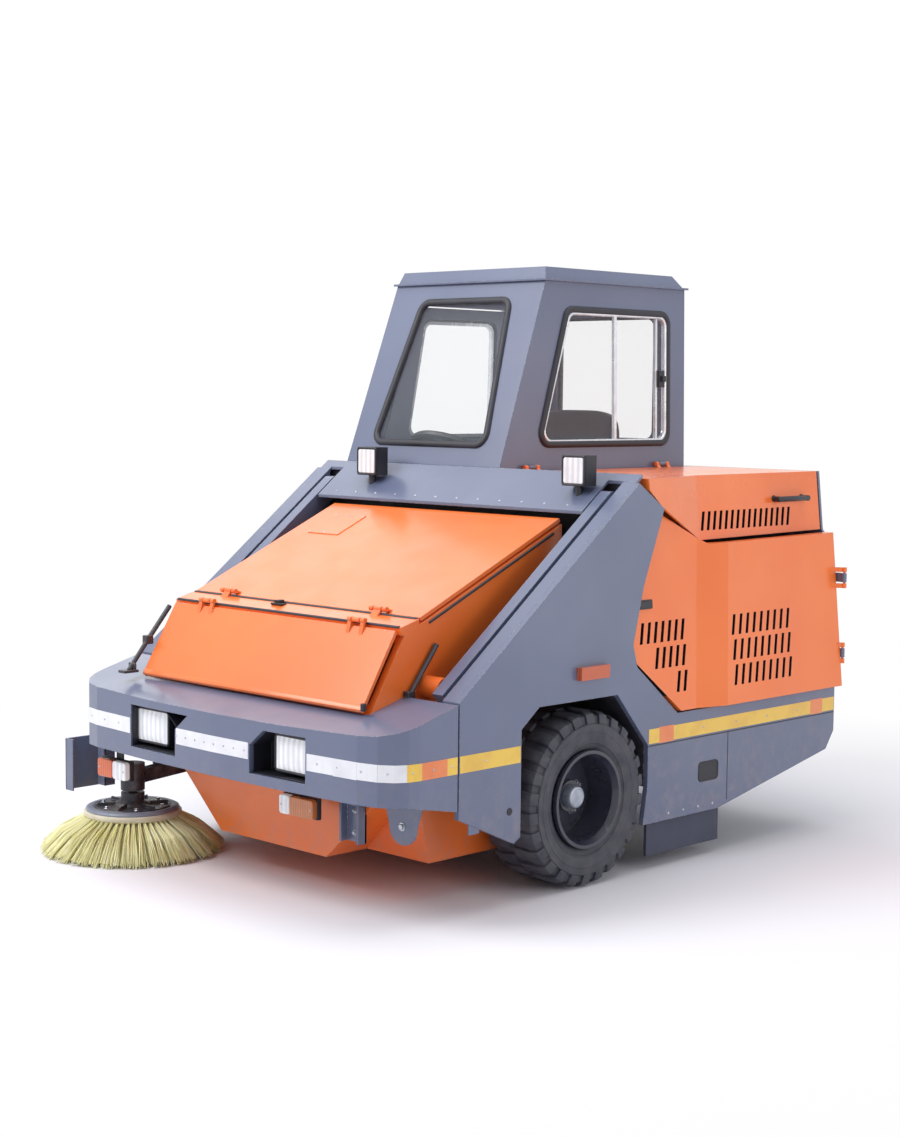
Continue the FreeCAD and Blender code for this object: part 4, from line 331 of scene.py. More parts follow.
clear_lens = ribbed_lens("clear_acrylic_moulded", "FFFFFF", "D6D9E1", 13, 0.1, 0.16)
amber_lens = ribbed_lens("amber_acrylic_moulded", "E08A45", "C46F33", 6, 0.0)
orange_lens = ribbed_lens("orange_acrylic_moulded", "E4703A", "CC5A2C", 6, 0.0)
red_lens = ribbed_lens("red_acrylic_moulded", "D2402C", "9E2218", 6, 0.0)
print("plain finishes done")

# %% [markdown]
# ## Bristles
# The side brush has stiff polypropylene strands, straw yellow with a green cast. Each strand takes its
# shade from its angle about the spindle, so the brush is full of fine light and dark lines.

# %% Bristle finishes
BRUSH = (-704, 196)
SPINDLE = at(*BRUSH, 0)


def bristle(name, shades, rough, depth_mm):
    """Drawn plastic strands: a fine noise gives each strand its own shade."""

    def coat(tree, place):
        # strands run away from the brush's spindle, so the shade changes with the angle about it
        split = add(tree, "SeparateXYZ", {"Vector": place})
        across = add(tree, "Math", {0: split.outputs["X"], 1: SPINDLE.x}, operation="SUBTRACT")
        along = add(tree, "Math", {0: split.outputs["Y"], 1: SPINDLE.y}, operation="SUBTRACT")
        turn = add(tree, "Math", {0: along, 1: across}, operation="ARCTAN2")
        strand = add(tree, "TexNoise", {"W": turn, "Scale": 90, "Detail": 3}, noise_dimensions="1D")
        dark = add(tree, "MapRange", {"Value": strand, "From Min": 0.38, "From Max": 0.5})
        pale = add(tree, "MapRange", {"Value": strand, "From Min": 0.5, "From Max": 0.68})
        deep, middle, tip = [linear(shade) for shade in shades]
        colour = add(tree, "Mix", {0: dark, FIRST: deep, SECOND: middle}, data_type="RGBA")
        colour = add(tree, "Mix", {0: pale, FIRST: colour, SECOND: tip}, data_type="RGBA")
        rough_skin = add(tree, "Bump", {"Height": strand, "Distance": depth_mm / 1000, "Strength": 0.5})
        return {"Base Color": colour, "Roughness": rough, "IOR": 1.49, "Normal": rough_skin}

    return finish(name, coat)


bristle_plastic = bristle("straw_polypropylene_drawn", ("CFC876", "F6F1B4", "FFFDE2"), 0.42, 0.3)
# the cone inside the brush: strand colours darkened as painted shade between the strands
bristle_painted_shade = bristle("polypropylene_painted_shade", ("5E5A32", "7E7846", "9A9358"), 0.55, 0.6)

# %% [markdown]
# ## Marking tape
# Retroreflective sheeting is a clear film over glass beads, printed with a fine honeycomb. It is bright,
# slightly glossy, and its cells are what tells it from paint. The real cells are 3 mm, drawn here at 5 mm.

# %% Tapes


def tape(name, bright, dim):
    """Reflective sheeting: a honeycomb of sealed cells under a clear film, soiled in patches."""

    def coat(tree, place):
        cells = add(tree, "TexVoronoi", {"Vector": place, "Scale": per_mm(5), "Randomness": 0.15},
                    feature="DISTANCE_TO_EDGE")
        line = add(tree, "MapRange", {"Value": cells, "From Max": 0.12})
        seam = add(tree, "MapRange", {"Value": line, "To Min": 0.3, "To Max": 0.0})
        grime = add(tree, "TexNoise", {"Vector": place, "Scale": per_mm(90), "Detail": 5})
        grime = add(tree, "MapRange", {"Value": grime, "From Min": 0.42, "From Max": 0.8})
        soiled = add(tree, "Mix", {0: grime, FIRST: linear(bright), SECOND: linear(dim)}, data_type="RGBA")
        colour = add(tree, "Mix", {0: seam, FIRST: soiled, SECOND: linear(dim)}, data_type="RGBA")
        emboss = add(tree, "Bump", {"Height": line, "Distance": 0.0001, "Strength": 0.3})
        return {"Base Color": colour, "Roughness": 0.3, "IOR": 1.5, "Coat Weight": 0.5, "Coat Roughness": 0.1,
                "Normal": emboss}

    return finish(name, coat)


white_tape = tape("white_sheeting_laminated", "F6F7FB", "DDDFE7")
yellow_tape = tape("yellow_sheeting_laminated", "F9CF4E", "E7B548")
orange_tape = tape("orange_sheeting_laminated", "F58F52", "EB7A40")

# %% [markdown]
# ## Woven seat cloth
# The seat is black woven polyester over foam. Two sets of threads cross, so two waves at right angles give
# the weave; the real thread is 0.8 mm and is drawn at 3 mm.

# %% Seat cloth
THREAD_MM = 3


def cloth_coat(tree, place):
    """Threads along three directions, so that the weave shows on every side of a cushion."""
    threads = [add(tree, "TexWave", {"Vector": place, "Scale": per_mm(THREAD_MM) / WAVE_TURN},
                   bands_direction=way).outputs["Fac"] for way in ("X", "Z", "Y")]
    weave = add(tree, "Math", {0: threads[0], 1: threads[1]}, operation="MULTIPLY")
    weave = add(tree, "Math", {0: weave, 1: threads[2]}, operation="ADD")
    fade = add(tree, "TexNoise", {"Vector": place, "Scale": per_mm(120), "Detail": 4})
    fade = add(tree, "MapRange", {"Value": fade, "From Min": 0.4, "From Max": 0.7})
    colour = add(tree, "Mix", {0: fade, FIRST: linear("2B2D35"), SECOND: linear("3B3D46")}, data_type="RGBA")
    lift = add(tree, "MapRange", {"Value": weave, "To Max": 0.35})
    colour = add(tree, "Mix", {0: lift, FIRST: colour, SECOND: linear("565A66")}, data_type="RGBA")
    ridge = add(tree, "Bump", {"Height": weave, "Distance": 0.0003, "Strength": 0.6})
    return {"Base Color": colour, "Roughness": 0.85, "Sheen Weight": 0.35, "Sheen Roughness": 0.5,
            "Normal": ridge}


seat_cloth = finish("polyester_cloth_woven", cloth_coat)

# %% [markdown]
# ## Paint the CAD nodes
# A CAD node whose shape is right stays, and only gets its finish. The list reads like a paint shop's card.

# %% Paint card
PAINT_CARD = {
    orange_enamel: ["hopper_tub", "hopper_lid", "dump_door"],
    door_enamel: ["engine_door"],
    hood_enamel: ["engine_hood"],
    slate_enamel: ["side_panel_left", "side_panel_right", "wing_left", "wing_right", "cowl", "cab_shell",
                   "cab_roof", "cab_door", "bumper", "lift_arms", "tail_panel", "side_decks"],
    frame_enamel: ["bulkhead", "chassis_frame", "cab_floor", "rear_fork", "side_brush_arm", "brush_carrier",
                   "brush_pivot", "wheel_liners"],
    cast_iron: ["front_axle", "engine_block"],
    cab_glazing: ["cab_glass", "cab_door_glass"],
    moulded_abs: ["dashboard", "steering_wheel", "work_lamps", "driver_seat", "front_lamps"],
    skirt_rubber: ["brush_skirts"],
    tyre_rubber: ["tyre_front_left", "tyre_front_right", "tyre_rear"],
    rim_enamel: ["rim_front_left", "rim_front_right", "rim_rear"],
    orange_lens: ["marker_lamps"],
    red_lens: ["tail_lamps"],
    bristle_plastic: ["main_brush", "side_brush"],
}
painted = set()
for material, nodes in PAINT_CARD.items():
    for node in nodes:
        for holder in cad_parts[node].material_slots:
            holder.material = material
        painted.add(node)
print("unpainted nodes:", sorted(set(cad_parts) - painted))

# %% [markdown]
# ## Building small parts
# Trim is built in mesh code. `piece` turns a list of solids into one object, hangs it on the CAD body that
# carries it, with its finish. `touch` drops a ray on a CAD node, so that trim sits exactly on the sheet.

# %% Mesh helpers
TREES = {}


def touch(node, start, direction):
    """Where a ray from start first meets a CAD node, and the outward normal there."""
    if node not in TREES:
        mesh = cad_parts[node].data
        corners = [v.co for v in mesh.vertices]
        TREES[node] = BVHTree.FromPolygons(corners, [p.vertices for p in mesh.polygons])
    spot, normal = TREES[node].ray_cast(start, direction.normalized())[:2]
    if spot is None:
        return None, None
    return spot, normal if normal.dot(direction) < 0 else -normal


def piece(name, body, material, build, bevel_mm=0.0, sharp_deg=35, segments=2):
    """Run build on an empty bmesh and hang the result on a CAD body."""
    form = bmesh.new()
    build(form)
    bmesh.ops.recalc_face_normals(form, faces=form.faces)
    mesh = bpy.data.meshes.new(name)
    form.to_mesh(mesh)
    form.free()
    mesh.shade_smooth()
    mesh.set_sharp_from_angle(angle=math.radians(sharp_deg))
    made = bpy.data.objects.new(name, mesh)
    scene.collection.objects.link(made)
    mesh.materials.append(material)
    if bevel_mm:
        soften = made.modifiers.new("soften", "BEVEL")
        soften.width = bevel_mm / 1000
        soften.segments = segments
        soften.limit_method = "ANGLE"
    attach(made, body)
    return made


def ring_faces(form, first, second, closed=True):
    """Join two rows of vertices with quads."""
    count = len(first)
    for k in range(count if closed else count - 1):
        form.faces.new((first[k], first[(k + 1) % count], second[(k + 1) % count], second[k]))


def prism(form, outline, run):
    """A solid: a flat outline of points, pushed along a vector."""
    low = [form.verts.new(p) for p in outline]
    high = [form.verts.new(p + run) for p in outline]
    form.faces.new(low)
    form.faces.new(high)
    ring_faces(form, low, high)


def block(form, low, high):
    """A box between two corners, given in the machine's own measures."""
    a, b = at(*low), at(*high)
    base = [Vector((x, y, a.z)) for x, y in ((a.x, a.y), (b.x, a.y), (b.x, b.y), (a.x, b.y))]
    prism(form, base, UP * (b.z - a.z))


def blocks(form, *boxes):
    """Several boxes, each as its two corners."""
    for low, high in boxes:
        block(form, low, high)


def square_to(axis):
    """Two directions square to an axis and to each other."""
    axis = axis.normalized()
    first = axis.cross(UP if abs(axis.z) < 0.9 else LEFT).normalized()
    return first, axis.cross(first)


def turned(form, centre, axis, profile, steps=32):
    """A turned part: profile is (radius, distance along the axis) pairs in millimetres."""
    axis = axis.normalized()
    first, second = square_to(axis)
    rows = []
    for radius, along in profile:
        middle = centre + axis * along / 1000
        if radius == 0:
            rows.append([form.verts.new(middle)])
            continue
        angles = [math.tau * k / steps for k in range(steps)]
        rows.append([form.verts.new(middle + (first * math.cos(a) + second * math.sin(a)) * radius / 1000)
                     for a in angles])
    for low, high in zip(rows, rows[1:]):
        if len(low) == 1 and len(high) == 1:
            continue
        if len(low) == 1 or len(high) == 1:
            tip, rim = (low, high) if len(low) == 1 else (high, low)
            for k in range(steps):
                form.faces.new((tip[0], rim[k], rim[(k + 1) % steps]))
        else:
            ring_faces(form, low, high)
    for row in (rows[0], rows[-1]):
        if len(row) > 1:
            form.faces.new(row)


def swept(form, path, section, closed=False):
    """Carry a section of (across, out) mm along a path of (point, outward) pairs."""
    rows = []
    count = len(path)
    for k, (point, outward) in enumerate(path):
        before = path[k - 1][0] if closed or k else point
        after = path[(k + 1) % count][0] if closed or k < count - 1 else point
        run = (after - before).normalized()
        across = outward.cross(run).normalized()
        rows.append([form.verts.new(point + across * a / 1000 + outward * o / 1000) for a, o in section])
    for k in range(count if closed else count - 1):
        ring_faces(form, rows[k], rows[(k + 1) % count])
    if not closed:
        form.faces.new(rows[0])
        form.faces.new(rows[-1])


def rounded(corners, radius, steps=6):
    """A closed outline of 2-D corners with each corner rounded by that radius."""
    made = []
    count = len(corners)
    for k in range(count):
        here = Vector(corners[k])
        back_way = (Vector(corners[k - 1]) - here).normalized()
        next_way = (Vector(corners[(k + 1) % count]) - here).normalized()
        half = back_way.angle(next_way) / 2
        reach = radius / math.tan(half)
        middle = here + (back_way + next_way).normalized() * radius / math.sin(half)
        first, last = here + back_way * reach - middle, here + next_way * reach - middle
        for step in range(steps + 1):
            share = step / steps
            arm = first.lerp(last, share).normalized() * radius
            made.append(middle + arm)
    return made


def rectangle(low, high, radius, steps=4):
    """A rectangle between two 2-D corners, with rounded corners."""
    return rounded([low, (high[0], low[1]), high, (low[0], high[1])], radius, steps)


def dome(form, spot, normal, radius, height, steps=10):
    """A rivet's or screw's rounded head."""
    turned(form, spot - normal * 0.001, normal,
           [(radius, 0), (radius, 1 + height * 0.35), (radius * 0.75, 1 + height * 0.8), (0, 1 + height)],
           steps)


def bolt(form, spot, normal, radius, height):
    """A hexagonal head on a washer."""
    turned(form, spot - normal * 0.001, normal, [(radius * 1.45, 0), (radius * 1.45, 2.5)], 16)
    head = [(radius, 0), (radius, height), (radius * 0.85, height + 1)]
    turned(form, spot + normal * 0.0005, normal, head, 6)



# %% [markdown]
# ## Window gaskets and frames
# The panes sit in an extruded rubber gasket that grips the sheet's edge, so a dark rounded band runs round
# each opening. The sliding side window has an anodised frame inside its gasket. A section swept round the
# opening's outline makes both, as the real profiles are made.

# %% Windows
GASKET = [(-13, -9), (13, -9), (15, 0), (13, 7), (7, 11), (-4, 11), (-11, 7), (-13, 0)]


def wall_path(node, outline, look, lift):
    """A flat outline in the wall that a ray in direction look meets, as a path for swept."""
    spots = [lift(p) for p in outline]
    centre = sum(spots, Vector()) / len(spots)
    probe = max(spots, key=lambda p: p.z)
    spot, normal = touch(node, probe + (probe - centre).normalized() * 0.03 - look, look)
    path = []
    for p in spots:
        reach = (spot - p).dot(normal) / look.dot(normal)
        path.append(p + look * reach)
    return [(p, normal) for p in path]


WINDOWS = {
    "windshield": ("cab_shell", "machine", BACK, [(-597, 1513), (27, 1513), (-44, 2079), (-526, 2079)],
                   lambda p: at(p[0], 0, p[1])),
    "side_window": ("cab_shell", "machine", -LEFT, [(1504, 1517), (2305, 1517), (2305, 2045), (1673, 2045)],
                    lambda p: at(1000, p[0], p[1])),
    "rear_window": ("cab_shell", "machine", -BACK, [(-564, 1517), (-24, 1517), (-24, 2045), (-564, 2045)],
                    lambda p: at(p[0], 3000, p[1])),
    "door_window": ("cab_door", "driver_door", LEFT, [(1600, 1517), (2133, 1517), (2133, 2023), (1690, 2023)],
                    lambda p: at(-1500, p[0], p[1])),
}
for name, (node, body, look, corners, lift) in WINDOWS.items():
    outline = rounded(corners, 45)
    path = wall_path(node, outline, look, lift)
    piece(name + "_gasket", body, seal_rubber, lambda form: swept(form, path, GASKET, closed=True),
          sharp_deg=60)
FRAME_SECTION = [(-7, -14), (7, -14), (7, 3), (4, 6), (-4, 6), (-7, 3)]
for name, body in (("side_window", "machine"), ("door_window", "driver_door")):
    look, lift = WINDOWS[name][2], WINDOWS[name][4]
    outline = rounded([Vector(c) for c in WINDOWS[name][3]], 45)
    path = wall_path(WINDOWS[name][0], outline, look, lift)
    middle = sum((p for p, n in path), Vector()) / len(path)
    path = [(p + (middle - p).normalized() * 0.02, n) for p, n in path]
    piece(name + "_frame", body, anodised_aluminium,
          lambda form: swept(form, path, FRAME_SECTION, closed=True), sharp_deg=60)
print("windows:", len(WINDOWS))


# %% Sliding panes


def sliding_panes(form):
    """The upright where the two sliding panes meet, and the run of the rear pane's own stile."""
    for along, wide, out in ((1966, 16, 4), (2240, 12, -6)):
        low, normal = touch("cab_shell", at(1000, along, 1490), -LEFT)
        high, normal = touch("cab_shell", at(1000, along, 2070), -LEFT)
        low = low + (high - low) * 0.06
        high = high - (high - low) * 0.055
        swept(form, [(low, normal), (high, normal)],
              [(-wide / 2, out - 14), (wide / 2, out - 14), (wide / 2, out), (-wide / 2, out)])


piece("side_window_stiles", "machine", anodised_aluminium, sliding_panes, 1.5)


def pane_latch(form):
    spot, normal = touch("cab_shell", at(1000, 2262, 1480), -LEFT)
    high = touch("cab_shell", at(1000, 2262, 2080), -LEFT)[0]
    middle = spot.lerp(high, 0.5)
    up = (high - spot).normalized()
    along = BACK * 0.018
    for low_mm, high_mm, out in ((-34, 34, 6), (-12, 12, 20)):
        corners = [middle + up * low_mm / 1000 - along, middle + up * low_mm / 1000 + along,
                   middle + up * high_mm / 1000 + along, middle + up * high_mm / 1000 - along]
        prism(form, [c - normal * 0.008 for c in corners], normal * (out + 8) / 1000)
        along = along * 0.6


piece("side_window_latch", "machine", moulded_abs, pane_latch, 2)

# %% [markdown]
# ## Tape round the machine
# White tape runs along the bumper's face and turns yellow and orange at its left end; yellow runs along the
# sides with orange patches between. It is a real strip a little proud of the paint. A fan of rays finds the
# bumper's face, so the strip follows its bend, and it stops at the lamp openings.

# %% Tape strips
TAPE_LOW, TAPE_HIGH = 486, 542
LAMP_IN, LAMP_OUT = 196, 476
TAPE_GAP = 0.06


def bumper_run():
    """Points round the bumper at the tape's height, as (across mm, along mm, point, outward)."""
    hub = at(0, 620, (TAPE_LOW + TAPE_HIGH) / 2)
    run = []
    for step in range(361):
        angle = math.radians(-72 + 144 * step / 360)
        out = Vector((math.sin(angle), -math.cos(angle), 0))
        spot, normal = touch("bumper", hub + out * 2, -out)
        if spot is None:
            continue
        across, along = (spot.x - CENTRE) * 1000, (spot.y - NOSE) * 1000
        if not LAMP_IN < abs(across) < LAMP_OUT:
            run.append((across, along, spot, Vector((normal.x, normal.y, 0)).normalized()))
    return run


def lay_tape(form, run):
    """Thin strips along the run, broken where it has a gap."""
    strips = [[]]
    for across, along, spot, normal in run:
        if strips[-1] and (spot - strips[-1][-1][0]).length > TAPE_GAP:
            strips.append([])
        strips[-1].append((spot, normal))
    half = (TAPE_HIGH - TAPE_LOW) / 2
    for strip in strips:
        if len(strip) > 1:
            swept(form, strip, [(-half, -0.5), (half, -0.5), (half, 0.7), (-half, 0.7)])


run = bumper_run()
# on the machine's left the colour changes at these distances behind the nose
CHANGES = [next(k for k, point in enumerate(run) if point[0] > 700 and point[1] > along)
           for along in (118, 172, 285)]
BUMPER_TAPES = {
    "white": (white_tape, [(0, CHANGES[0])]),
    "yellow": (yellow_tape, [(CHANGES[0], CHANGES[1]), (CHANGES[2], len(run) - 1)]),
    "orange": (orange_tape, [(CHANGES[1], CHANGES[2])]),
}
for name, (material, parts) in BUMPER_TAPES.items():

    def lay_parts(form):
        for first, last in parts:
            lay_tape(form, run[first:last + 1])

    piece("bumper_tape_" + name, "hopper", material, lay_parts, sharp_deg=60)

# %% Tape joints and side tape


def tape_joints(form):
    """Short lengths that overlap the main strip where a roll ended."""
    for low, high in ((590, 700), (-846, -800)):
        part = [point for point in run if low < point[0] < high]
        swept(form, [(spot + normal * 0.0008, normal) for across, along, spot, normal in part],
              [(-29.5, -0.3), (27, -0.3), (27, 0.7), (-29.5, 0.7)])


piece("bumper_tape_joints", "hopper", white_tape, tape_joints, sharp_deg=60)
SIDE_TAPES = {
    "yellow": (yellow_tape, ((348, 638, 486, 542), (1319, 1378, 466, 519), (1462, 2330, 466, 519),
                             (2412, 2494, 466, 519))),
    "orange": (orange_tape, ((1378, 1462, 463, 522), (2330, 2412, 463, 522))),
}
for name, (material, strips) in SIDE_TAPES.items():

    def lay(form):
        for near, far, low, high in strips:
            for sign in (1, -1):
                block(form, (sign * (HALF_MM - 0.5), near, low), (sign * (HALF_MM + 0.8), far, high))

    piece("side_tape_" + name, "machine", material, lay)


def bumper_screws(form):
    for across, along, spot, normal in run[::12]:
        dome(form, spot + normal * 0.0007, normal, 4, 1.5)


def side_screws(form):
    for sign in (1, -1):
        for along, up in ((470, 514), (1640, 492), (1840, 492), (2040, 492), (2240, 492)):
            dome(form, at(sign * (HALF_MM + 0.7), along, up), LEFT * sign, 4, 1.5)


piece("bumper_tape_screws", "hopper", zinc_plate, bumper_screws)
piece("side_tape_screws", "machine", zinc_plate, side_screws)

# %% [markdown]
# ## Headlamps and indicators
# Each headlamp is a black moulded pan in the bumper with a clear ribbed lens at its outer side. Below hang
# the indicators: a white half and an orange half. These pieces stand for the plain CAD lamps.

# %% Lamps
LENS_LOW, LENS_TOP, LENS_NEAR, LENS_FAR = 465, 575, 295, 465


def lamp_glass(form):
    """Bowed lenses: a grid over each face, pushed forward in the middle."""
    columns, rows = 12, 8
    for sign in (1, -1):
        lattice = []
        for row in range(rows + 1):
            line = []
            for column in range(columns + 1):
                u, v = column / columns, row / rows
                crown = (1 - (2 * u - 1) ** 4) * (1 - (2 * v - 1) ** 4)
                across = sign * (LENS_NEAR + (LENS_FAR - LENS_NEAR) * u)
                line.append(form.verts.new(at(across, 46 - 6 * crown, LENS_LOW + (LENS_TOP - LENS_LOW) * v)))
            lattice.append(line)
        for low, high in zip(lattice, lattice[1:]):
            ring_faces(form, low, high, closed=False)
        edge = lattice[0] + [line[-1] for line in lattice[1:]]
        edge += lattice[-1][-2::-1] + [line[0] for line in lattice[-2:0:-1]]
        rear = [form.verts.new(Vector((v.co.x, at(0, 96, 0).y, v.co.z))) for v in edge]
        ring_faces(form, edge, rear)
        form.faces.new(rear)


lenses = piece("headlamp_lenses", "hopper", clear_lens, lamp_glass, sharp_deg=50)
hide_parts("front_lamps")


def lamp_pans(form):
    """Thin black liners over the recess walls, and the bezel round each lens."""
    for sign in (1, -1):
        inner, outer, low, high = 203, 469, 442, 590
        path = [(inner, low), (outer, low), (outer, high), (inner + 70, high), (inner, high - 56)]
        near, far = 22, 108
        for k in range(len(path)):
            (a, b), (c, d) = path[k], path[(k + 1) % len(path)]
            corners = [at(sign * x, y, z) for x, y, z in ((a, near, b), (c, near, d), (c, far, d), (a, far, b))]
            middle = at(sign * 336, (near + far) / 2, 516)
            centre = sum(corners, Vector()) / 4
            normal = (corners[1] - corners[0]).cross(corners[3] - corners[0]).normalized()
            normal = normal if normal.dot(middle - centre) > 0 else -normal
            prism(form, corners, normal * 0.002)
        prism(form, [at(sign * a, 104, b) for a, b in path], -BACK * 0.004)
        frame_path = rectangle((LENS_NEAR - 5, LENS_LOW - 5), (LENS_FAR + 3, LENS_TOP + 5), 12)
        swept(form, [(at(sign * p.x, 60, p.y), -BACK) for p in frame_path],
              [(-5, -40), (5, -40), (5, 14), (2, 17), (-3, 17), (-5, 14)], closed=True)


piece("headlamp_pans", "hopper", moulded_abs, lamp_pans, 1)


def pan_screws(form):
    for sign in (1, -1):
        for across, up in ((LENS_NEAR - 22, 480), (LENS_NEAR - 22, 556)):
            dome(form, at(sign * across, 99, up), -BACK, 5, 2)


piece("headlamp_screws", "hopper", zinc_plate, pan_screws)
BLINKERS = ((278, 144), (-680, 80))


def blinker_shell(form):
    """Black backs with straps up to the bumper."""
    for centre, near in BLINKERS:
        blocks(form, ((centre - 88, near + 22, 281), (centre + 88, near + 40, 354)),
               ((centre - 22, near + 40, 290), (centre + 22, near + 45, 433)),
               ((centre - 22, 42, 428), (centre + 22, near + 45, 433.5)))


piece("indicator_backs", "hopper", moulded_abs, blinker_shell, 2)
# each lens as (nose side, low, high) across: the left lamp is a third clear, the right one is half clear
HALF_LENSES = {
    "clear": (clear_lens, ((144, 192, 244), (80, -674, -594))),
    "amber": (amber_lens, ((144, 244, 364),)),
    "red": (orange_lens, ((80, -766, -674),)),
}
for tone, (material, lenses_mm) in HALF_LENSES.items():

    def half_lens(form):
        for near, low, high in lenses_mm:
            outline = rectangle((low, 284), (high, 351), 11)
            prism(form, [at(p.x, near, p.y) for p in outline], BACK * 0.023)

    piece("indicator_lens_" + tone, "hopper", material, half_lens, 4, segments=3)


def lens_screws(form):
    for centre, near in BLINKERS:
        for across in (-74, 74):
            dome(form, at(centre + across, near, 317), -BACK, 4, 1.5)


piece("indicator_screws", "hopper", zinc_plate, lens_screws)
print("front lamps done")

# %% [markdown]
# ## Work lamps
# Two square flood lamps stand on the cowl. CAD has their cases, and here they get a bezel, a clear ribbed
# lens, cooling fins behind and a clamp bolt.

# %% Work lamps
WORK_LAMPS = (618, -459)


def lamp_faces(form):
    """A lens with rounded corners in each case."""
    for across in WORK_LAMPS:
        outline = rectangle((across - 46, 1396), (across + 46, 1488), 8)
        prism(form, [at(p.x, 1148, p.y) for p in outline], BACK * 0.007)


def lamp_bezels(form):
    """A raised rim round the lens, five fins on the back and the clamp's cross bolt."""
    for across in WORK_LAMPS:
        outline = rectangle((across - 51, 1391), (across + 51, 1493), 8)
        swept(form, [(at(p.x, 1153, p.y), -BACK) for p in outline],
              [(-4, -4), (4, -4), (4, 4), (0, 6), (-4, 4)], closed=True)
        for fin in range(5):
            block(form, (across - 43 + fin * 20, 1212, 1402), (across - 38 + fin * 20, 1226, 1482))
        turned(form, at(across - 14, 1183, 1386), LEFT, [(9, 0), (9, 28)], 12)


piece("work_lamp_lenses", "machine", clear_lens, lamp_faces, 2)
piece("work_lamp_bezels", "machine", moulded_abs, lamp_bezels, 1)

# %% [markdown]
# ## The side brush
# Thin strands stand round a moulded ring in tufts, in three rows, and each tuft fans out towards the floor.
# Every strand is its own tapered solid. A darker cone inside stops light from showing through the gaps;
# its dark colour is painted shade between the strands.

# %% Side brush
TUFTS, PER_TUFT = 54, 26
rng = random.Random(7)


def strand_points(angle, lean, row, bow):
    """A strand's root, knee and tip."""
    start_radius = 126 + row * 20 + rng.uniform(-4, 4)
    end_radius = min(290 + row * 23 + rng.uniform(-12, 8), 343)
    start_up = 134 + rng.uniform(-3, 4)
    end_up = max(3.0, 14 - row * 2 + rng.uniform(-9, 14))
    points = []
    for share, lift in ((0, 0), (0.55, bow), (1, 0)):
        radius = start_radius + (end_radius - start_radius) * share + lift * 0.4
        up = start_up + (end_up - start_up) * share + lift
        turn = angle + lean * share
        points.append(at(BRUSH[0] + radius * math.cos(turn), BRUSH[1] + radius * math.sin(turn), up))
    return points


def strands(form):
    """Tapered three-sided strands from the ring to the sweeping rim, tuft by tuft."""
    for row in range(3):
        for tuft in range(TUFTS):
            middle = math.tau * (tuft + row / 3 + rng.uniform(-0.12, 0.12)) / TUFTS
            sway = rng.gauss(0, 0.02)
            for k in range(PER_TUFT):
                spread = rng.uniform(-1, 1)
                angle = middle + spread * 0.018
                lean = sway + spread * 0.034 + rng.gauss(0, 0.008)
                points = strand_points(angle, lean, row, 3 + row * 4 + rng.uniform(-3, 4))
                tangent = Vector((-math.sin(angle), math.cos(angle), 0))
                width = rng.uniform(1.5, 2.4)
                rows = []
                for point, share in zip(points, (1.0, 1.0, 0.7)):
                    w = width * share / 1000
                    rows.append([form.verts.new(point + tangent * w), form.verts.new(point - tangent * w),
                                 form.verts.new(point + UP * w * 1.4)])
                for low, high in zip(rows, rows[1:]):
                    ring_faces(form, low, high)
                form.faces.new(rows[0])
                form.faces.new(rows[-1])


bristles = piece("side_brush_bristles", "disc_brush", bristle_plastic, strands, sharp_deg=80)
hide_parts("side_brush")
print("strand faces:", len(bristles.data.polygons))

# %% Brush head


# a cone under the strands whose dark colour is painted shade between them
def brush_shade_cone(form):
    turned(form, SPINDLE, UP,
           [(120, 40), (226, 10), (272, 7), (276, 12), (232, 46), (160, 106), (128, 136)], 64)


def brush_ring(form):
    """The moulded ring that holds the strands: a rolled outer edge and a flat top."""
    turned(form, SPINDLE, UP,
           [(120, 134), (174, 130), (181, 136), (182, 148), (176, 154), (120, 154)], 72)


def pressed_ring(form):
    """The pressed steel ring on top of the moulded one."""
    turned(form, SPINDLE, UP,
           [(112, 153), (172, 153), (175, 156), (172, 163), (163, 167), (148, 167), (144, 161), (112, 161)],
           72)


def brush_plate(form):
    """Drive plate and hub."""
    turned(form, SPINDLE, UP,
           [(0, 156), (140, 156), (140, 164), (136, 168), (70, 168), (62, 178), (44, 184), (44, 216),
            (0, 216)], 48)
    for k in range(6):
        angle = math.tau * k / 6
        out = Vector((math.cos(angle), math.sin(angle), 0))
        edge = Vector((-out.y, out.x, 0)) * 0.004
        foot = at(BRUSH[0], BRUSH[1], 167)
        prism(form, [foot + out * 0.05 + edge, foot + out * 0.132 + edge, foot + out * 0.132 - edge,
                     foot + out * 0.05 - edge], UP * 0.012)


def brush_bolts(form):
    for k in range(6):
        angle = math.tau * (k + 0.5) / 6
        bolt(form, at(BRUSH[0] + 118 * math.cos(angle), BRUSH[1] + 118 * math.sin(angle), 168), UP, 8, 7)


piece("side_brush_shade_cone", "disc_brush", bristle_painted_shade, brush_shade_cone, sharp_deg=60)
piece("side_brush_ring", "disc_brush", cream_plastic, brush_ring, sharp_deg=50)
piece("side_brush_pressed_ring", "disc_brush", ring_enamel, pressed_ring, sharp_deg=50)
piece("side_brush_plate", "disc_brush", frame_enamel, brush_plate, 1.5)
piece("side_brush_bolts", "disc_brush", zinc_plate, brush_bolts)

# %% [markdown]
# ## Tyres
# A tyre's tread and its side marks come from the mould. The carcass is one turned ring, and the lugs are
# short blocks carried round it, two rows half a pitch apart, wrapped over the shoulder. CAD's tyres are
# faceted rings with plain lugs, so these finer ones stand for them in the same width and height.

# %% Tyres
BEAD_SHARE = 0.557
LUG_MM, GROOVE_MM = 46, 13


def ring_row(form, centre, angle, section):
    """One row of a turned section: (radius, across) in millimetres, at an angle about the axle."""
    way = Vector((0, math.cos(angle), math.sin(angle)))
    return [form.verts.new(centre + way * radius / 1000 + LEFT * across / 1000)
            for radius, across in section]


